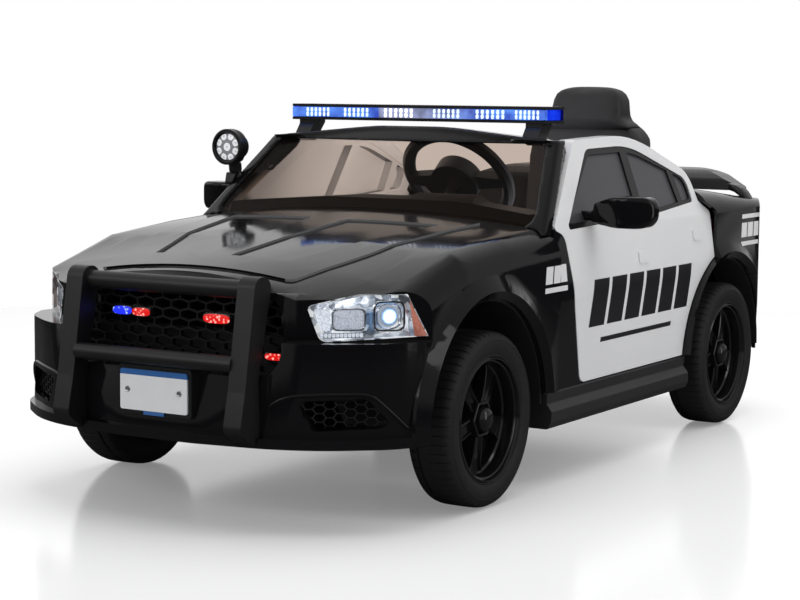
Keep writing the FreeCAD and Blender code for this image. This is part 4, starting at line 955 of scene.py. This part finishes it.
def headlamp_inside():
    """Projector, fluted module, trim and light strip of the left lamp."""
    eye = aimed(projector_at - lamp_way * 0.0045, lamp_way)
    facing = Vector((0.69, -0.72, 0.0))
    module = aimed(Vector((0.2316, -0.5682, 0.2605)) - facing * 0.0105, facing)
    inner = aimed(Vector((0.2075, -0.5890, 0.2600)) - facing * 0.0105, (0.45, -0.89, 0.0))
    strip = aimed(Vector((0.2250, -0.5745, 0.2415)) - facing * 0.0060, facing)
    projector = metres([(0, 5.6), (4.5, 5.3), (9, 4), (12.2, 1.6), (13.8, -1.4), (13.8, -4), (0, -4)])
    flutes = copied(flute_unit(0.0026, 0.0110), 14, module_lit, step=(0.0, 0.0026, 0.0))
    cell = pad_of("strip cell", 0.0021, 0.0024, 0.0014, strip_lit, edge=0.0006, count=20)
    cells = copied(cell, 11, strip_lit, step=(0.0, 0.0049, 0.0))
    return [moved_mesh(piece, place) for piece, place in (
        (ring_pad("bezel", 0.0205, 0.0190, 0.0030, 0.0052, chrome, power=5.0), eye),
        (ring_pad("inner bezel", 0.0160, 0.0158, 0.0016, 0.0040, chrome, power=2.6), eye),
        (turned("projector", projector, beam_lit, 48, closed=False, smooth=50.0), eye),
        (ring_pad("module frame", 0.0210, 0.0140, 0.0022, 0.0052, chrome, power=6.0), module),
        (flutes, module @ Matrix.Translation((0.0026, -0.0169, 0.0))),
        (pad_of("module back", 0.0195, 0.0125, 0.0026, module_lit, power=6.0), module),
        (pad_of("inner facet", 0.0100, 0.0130, 0.0040, strip_lit, edge=0.003, power=8.0), inner),
        (cells, strip @ Matrix.Translation((0.0006, -0.0245, 0.0))),
        (pad_of("strip bar", 0.0285, 0.0034, 0.0008, chrome, edge=0.0003), strip),
    )]


lens = amber_share(shell_of("headlamp_lens", "headlamps", lens_face, lens_clear, 0.0012))
bowl = shell_of("headlamp_bowl", "headlamps", lambda f: not lens_face(f), bowl_painted_glints, 0.0010)
on("root", "clear_lens", lens, stands_for=["headlamps"])
on("root", "steel", bowl)
for side, hand in SIDES:
    on("root", "steel", moved_mesh(together("headlamp_inside_" + side, headlamp_inside()), hand))


# ------------------------------------------------- flashing lamps in the grille
def pod(name, spot, half_y, half_z, finish, cells):
    """Small flashing lamp on the honeycomb: dark body, glowing window, a row of domed cells."""
    body = pad_of("body", half_y + 0.0012, half_z + 0.0012, 0.0078, grille_black, power=5.0)
    window = moved_mesh(pad_of("window", half_y, half_z, 0.0012, finish, edge=0.0005, power=3.0),
                        Matrix.Translation((0.0076, 0.0, 0.0)))
    pitch = 2 * (half_y - 0.0030) / cells
    unit = pad_of("cell", pitch * 0.38, half_z * 0.45, 0.0016, finish, edge=0.0008, power=2.2, count=20)
    row = moved_mesh(copied(unit, cells, finish, step=(0.0, pitch, 0.0)),
                     Matrix.Translation((0.0082, -pitch * (cells - 1) / 2, 0.0)))
    return moved_mesh(together(name, [body, window, row]), aimed(spot, ahead))


grille_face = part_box("grille")[0].y + 0.0005
for name, slot, across, rise, half_y, half_z, finish, cells in (
    ("flash_blue", "blue_lens", -0.0860, 0.2565, 0.0150, 0.0052, blue_lit, 4),
    ("flash_red_middle", "red_lens", -0.0560, 0.2560, 0.0140, 0.0050, red_lit, 4),
    ("flash_red_left", "red_lens", 0.0620, 0.2550, 0.0200, 0.0058, red_lit, 5),
    ("flash_red_low", "red_lens", 0.1490, 0.2140, 0.0140, 0.0042, red_lit, 4),
):
    on("root", slot, pod(name, (across, grille_face, rise), half_y, half_z, finish, cells))

# ------------------------------------------------------------------- light bar
bar_low, bar_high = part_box("light_bar_base")
lens_low, lens_high = (corner.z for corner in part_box("light_bar_clear"))
lens_tall = lens_high - lens_low
bar_z = (lens_low + lens_high) / 2
bar_front, bar_back = bar_low.y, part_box("light_bar_blue")[1].y
bar_middle = (bar_front + bar_back) / 2
end_x = bar_high.x - 0.0036
end_reach = bar_middle - bar_front - 0.0060
glow_in = 0.0055            # the lit back lies this far behind the lens


def cluster(name, first, last, finish):
    """Upright lit cells of one lamp behind the bar's lens, in two rows."""
    cells = 6
    pitch = (last - first) / cells
    unit = pad_of("cell", pitch * 0.27, lens_tall * 0.20, 0.0010, finish, edge=0.0004, power=3.0, count=20)
    row = copied(unit, cells, finish, step=(0.0, pitch, 0.0))
    rows = [twin(row, "row", Matrix.Translation((0.0, first + pitch / 2, lens_tall * rise)))
            for rise in (-0.21, 0.21)]
    bpy.data.objects.remove(row)
    return moved_mesh(together(name, rows), aimed((0.0, bar_front + 0.0042, bar_z), ahead))


for number, (first, last, finish) in enumerate((
    (-0.1930, -0.1480, bar_lit), (-0.1250, -0.0780, bar_lit), (-0.0540, 0.0000, cell_white),
    (0.0310, 0.0790, bar_lit), (0.1030, 0.1540, bar_lit), (0.1680, 0.2100, bar_lit),
), 1):
    on("root", "clear_lens", cluster("bar_cells_%d" % number, first, last, finish))
for name, spot, outward, reach in (
    ("bar_glow_front", (0.0, bar_front + glow_in, bar_z), ahead, bar_high.x - 0.0035),
    ("bar_glow_back", (0.0, bar_back - glow_in, bar_z), (0.0, 1.0, 0.0), bar_high.x - 0.0035),
    ("bar_glow_left", (end_x, bar_middle, bar_z), (1.0, 0.0, 0.0), end_reach),
    ("bar_glow_right", (-end_x, bar_middle, bar_z), (-1.0, 0.0, 0.0), end_reach),
):
    loops = [loop_of(reach, lens_tall / 2 - 0.0006, x, 30.0, 64) for x in (0.0, 0.0010)]
    on("root", "blue_lens", moved_mesh(skinned(name, loops, glow_bar), aimed(spot, outward)))

# ------------------------------------------------------------------- spotlight
for part, slot, finish, closed, smooth, profile in (
    ("disc", "clear_lens", spot_face, False, 40.0,
     [(0, 1.2), (13, 1), (20, 0), (22.2, -1.4), (22.2, -3), (0, -3)]),
    ("bezel", "satin_black", trim_black, True, 35.0,
     [(21.9, -3), (21.9, 2.2), (23, 3.6), (26, 3.6), (27.2, 2.2), (27.3, -6), (26.6, -6.8), (23.5, -6.8)]),
    ("fins", "satin_black", trim_black, True, 35.0,
     [(26.2, -8), (27.3, -8.8), (27.3, -10.6), (26.2, -11.4), (25, -11.4), (25, -8)]),
):
    ring = turned("spotlight_" + part, metres(profile), finish, 64, closed, smooth)
    on("root", slot, moved_mesh(ring, aimed(spot_at, ahead)))
neck = []
for start, end, r in (((-0.2720, -0.108, 0.4260), (-0.2720, -0.106, 0.4120), 0.0098),
                      ((-0.2720, -0.106, 0.4140), (-0.2640, -0.104, 0.3960), 0.0078)):
    way = Vector(end) - Vector(start)
    span = way.length
    profile = [(0.0, 0.0), (r * 0.8, 0.0), (r, 0.0015), (r, span - 0.0015), (r * 0.8, span), (0.0, span)]
    link = turned("neck", profile, trim_black, 32, closed=False)
    neck.append(moved_mesh(link, aimed(start, way, (0.0, 1.0, 0.0))))
on("root", "satin_black", together("spotlight_neck", neck))

# ------------------------------------------------ spoiler's ends, mirror glasses
SPOILER_END = metres([
    (254, 386.5), (266, 383.5), (274.5, 379), (281.5, 372), (286.2, 365), (288.5, 359), (279, 360),
    (274, 366.5), (266, 372), (254, 376),
])
for side, way in (("left", 1.0), ("right", -1.0)):
    end = block("spoiler_end_" + side, [(way * across, 0.5750, up_z) for across, up_z in SPOILER_END],
                (0.0, 1.0, 0.0), 0.030, trim_black, 0.0015, 60.0)
    on("root", "satin_black", end)
    low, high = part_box("mirror_" + side)
    middle = Vector(((low.x + high.x) / 2 + way * 0.010, high.y - 0.0004, (low.z + high.z) / 2))
    glass = pad_of("mirror_glass_" + side, 0.0395, 0.0165, 0.0012, mirror_silver, power=3.5)
    on("side_door_" + side, "steel", moved_mesh(glass, aimed(middle, (0.0, 1.0, 0.0))))

# --------------------------------------------------------- plate's screws and tab
plate_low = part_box("number_plate")[0]
SCREW = metres([
    (0, 1), (1.4, 1), (1.6, 0.4), (3, 1.2), (3.6, 0.6), (3.6, -0.2), (0, -0.2),
])
for k, across in enumerate((-0.040, 0.040)):
    head = turned("plate_screw_%d" % k, SCREW, axle_steel, 24, closed=False)
    on("root", "steel", moved_mesh(head, aimed((across, plate_low.y, 0.165), ahead)))
TAB = metres([(-16, 0.2), (16, 0.2), (16, 1.6), (-16, 1.6)])
tab_outline = [(across, plate_low.y + y, plate_low.z - 0.0050) for across, y in TAB]
on("root", "blue_lens", block("plate_tab", tab_outline, (0.0, 0.0, 1.0), 0.0046, tab_blue, 0.0003))

# ------------------------------------------- brows and honeycomb of the fog holes
bumper = merged("front_bumper")
bumper_faces = BVHTree.FromBMesh(bumper)
bumper.free()
brow = []
for across, rise in metres([(158, 158), (176, 169), (205, 172.5), (240, 173.5), (264, 173.5), (275.5, 160),
                            (286.5, 143), (293.5, 130)]):
    touch = bumper_faces.ray_cast(Vector((across, -1.0, rise)), Vector((0.0, 1.0, 0.0)))[0]
    if touch:
        brow.append(touch)


def hex_cell(r, wall_w, depth):
    """One honeycomb cell, open through the middle."""
    loops = [[(x, radius * cos(pi / 3 * k), 0.72 * radius * sin(pi / 3 * k)) for k in range(6)]
             for radius, x in ((r, 0.0), (r, depth), (r - wall_w, depth), (r - wall_w, 0.0))]
    return skinned("cell", loops, grille_black, ring=True)


cell_r = 0.0084
FOG_HOLE = metres([(189, 162.5), (260.5, 166.5), (284, 133.5), (207.5, 129.5)])
mesh_rows = []
for k in range(7):
    row = copied(hex_cell(cell_r, 0.0011, 0.004), 9, grille_black, step=(0.0, cell_r * 3.0, 0.0))
    shift = (0.0, -cell_r * 13.5 + (k % 2) * cell_r * 1.5, (k - 3) * cell_r * 0.6235)
    mesh_rows.append(moved_mesh(row, Matrix.Translation(shift)))
fog_mesh = moved_mesh(together("fog_mesh", mesh_rows), aimed((0.238, -0.5760, 0.149), (0.60, -0.80, 0.0)))
hole = block("hole", [(x, -0.70, z) for x, z in FOG_HOLE], (0.0, 1.0, 0.0), 0.2, grille_black, bevel=0.0)
settled(fog_mesh, ("BOOLEAN", dict(operation="INTERSECT", solver="MANIFOLD", object=hole)))
for side, hand in SIDES:
    on("root", "gloss_black", moved_mesh(tube("fog_brow_" + side, brow, 0.0026, body_black), hand))
    on("root", "satin_black", twin(fog_mesh, "fog_mesh_" + side, hand))
bpy.data.objects.remove(hole)
bpy.data.objects.remove(fog_mesh)


# ------------------------------------------------------------------------ seat
def puffed(piece, most):
    """Blows the piece up as a sewn cover would, each point moving no further than `most`."""
    settled(piece, ("REMESH", dict(mode="VOXEL", voxel_size=0.005)))
    flat = [v.co.copy() for v in piece.data.vertices]
    cover = piece.modifiers.new("cover", "CLOTH")
    cover.settings.use_pressure = True
    cover.settings.uniform_pressure_force = 4.0
    cover.settings.effector_weights.gravity = 0.0
    cover.settings.quality = 4
    cover.collision_settings.use_collision = False
    for step in range(1, 21):
        bpy.context.scene.frame_set(step)
    settled(piece)
    bpy.context.scene.frame_set(1)
    for vertex, start in zip(piece.data.vertices, flat):
        move = vertex.co - start
        if move.length > most:
            vertex.co = start + move.normalized() * most
    settled(piece, ("SMOOTH", dict(factor=0.5, iterations=6)), ("SUBSURF", dict(levels=1, render_levels=1)))
    for face in piece.data.polygons:
        face.use_smooth = True
    return piece


def cushion_part(name, node, *planes):
    """Part of a seat solid, cut by planes (height, which way is cut off), to be puffed."""
    bm = merged(node)
    for height, way in planes:
        cut = bmesh.ops.bisect_plane(bm, geom=bm.verts[:] + bm.edges[:] + bm.faces[:], clear_outer=True,
                                     plane_co=(0.0, 0.0, height), plane_no=(0.0, 0.0, way))
        rim = [e for e in cut["geom_cut"] if isinstance(e, bmesh.types.BMEdge)]
        bmesh.ops.contextual_create(bm, geom=rim)
    bmesh.ops.recalc_face_normals(bm, faces=bm.faces)
    return from_bmesh(name, bm, seat_black)


head_foot, shoulders_top = 0.476, 0.489
head_lead = -0.009          # the head pad stands this far ahead of the back
head = cushion_part("head_pad", "seat_back", (head_foot, -1.0))
head.data.transform(Matrix.Translation((0.0, head_lead, 0.0)))
shoulders = cushion_part("back_pad", "seat_back", (shoulders_top, 1.0))
base = cushion_part("base_pad", "seat_cushion")
for piece, most in ((head, 0.0025), (shoulders, 0.003), (base, 0.006)):
    puffed(piece, most)
for piece, node in ((together("seat_back_pads", [head, shoulders]), "seat_back"), (base, "seat_cushion")):
    on("root", "seat_cover", piece, stands_for=[node])

# ----------------------------------------------------------------- camera, light
turn, rise, roll = radians(31.11), radians(6.0), radians(0.5)
back = Vector((sin(turn) * cos(rise), -cos(turn) * cos(rise), sin(rise)))
level = Vector((cos(turn), sin(turn), 0.0))
upward = back.cross(level)
right = level * cos(roll) + upward * sin(roll)
up = upward * cos(roll) - level * sin(roll)
view = bpy.data.cameras.new("view")
view.lens = 90.29
view.sensor_width = 36.0
view.clip_start = 0.1
view.clip_end = 200.0
camera = placed("view", view)
looking = Matrix((right, up, back)).transposed().to_4x4()
camera.matrix_world = Matrix.Translation((1.5293, -2.6019, 0.5394)) @ looking
bpy.context.scene.camera = camera


def soft_lamp(name, spot, aim, size, watts):
    data = bpy.data.lights.new(name, "AREA")
    data.shape = "RECTANGLE"
    data.size, data.size_y = size
    data.energy = watts
    lamp = placed(name, data)
    lamp.location = spot
    lamp.rotation_mode = "QUATERNION"
    lamp.rotation_quaternion = (Vector(aim) - Vector(spot)).to_track_quat("-Z", "Y")
    return lamp


overhead = soft_lamp("overhead", (0.3, 0.2, 2.6), (0.0, 0.0, 0.0), (2.6, 2.6), 46.0)
overhead.visible_glossy = False
cabin = soft_lamp("cabin fill", (0.14, 0.17, 0.345), (-0.26, 0.13, 0.42), (0.20, 0.20), 2.1)
cabin.visible_camera = cabin.visible_glossy = cabin.visible_transmission = False
soft_lamp("side strip", (2.6, 0.3, 1.1), (0.0, 0.1, 0.2), (0.7, 2.6), 10.0)
soft_lamp("front strip", (-0.8, -2.6, 1.3), (0.0, -0.3, 0.2), (1.8, 0.6), 9.0)

# White to the eye and through clear sheets; mirrored as a graded panel that fades out towards the
# ground; an even dimmer light to everything else.
ambient = 0.45
sky = Finish("studio", "worlds", "Generated")
bpy.context.scene.world = sky.owner
x, y, z = sky.place()
seen, passing, mirrored = (sky.node("LightPath", out="Is %s Ray" % kind)
                           for kind in ("Camera", "Transmission", "Glossy"))
panel = sky.fade(x * -0.9 + y * 0.43, 0.1, 0.7, 0.32, 0.9)
rising = sky.fade(z, 0.0, 0.07, 0.05, 1.0)
brightness = seen.either(passing).either(mirrored * (panel * rising)).either((1.0 - mirrored) * ambient)
sky.finished(sky.node("Background", {"Color": (1.0, 1.0, 1.0), "Strength": brightness}), "OutputWorld")

# The floor is dim and plain where a glossy surface mirrors it.
paper = Finish("pale studio floor")
bright = paper.surface(base=paper.between(paper.noise(2.0), (0.93, 0.93, 0.935), (0.95, 0.95, 0.955)),
                       rough=paper.spread(paper.noise(3.0), 0.13, 0.18), sheen=0.35)
dim = paper.node("BsdfDiffuse", {"Color": (0.10, 0.10, 0.10)})
lift = paper.node("Emission", {"Color": (1.0, 1.0, 1.0),
                               "Strength": paper.node("LightPath", out="Is Camera Ray") * 0.2})
laid = paper.mixed(paper.node("LightPath", out="Is Glossy Ray"), bright, dim)
disc = bmesh.new()
bmesh.ops.create_circle(disc, cap_ends=True, segments=96, radius=2.1,
                        matrix=Matrix.Translation((0.0, 0.0, -0.0005)))
from_bmesh("floor", disc, paper.finished(paper.node("AddShader", {0: laid, 1: lift})))
bpy.context.scene.view_settings.view_transform = "Standard"
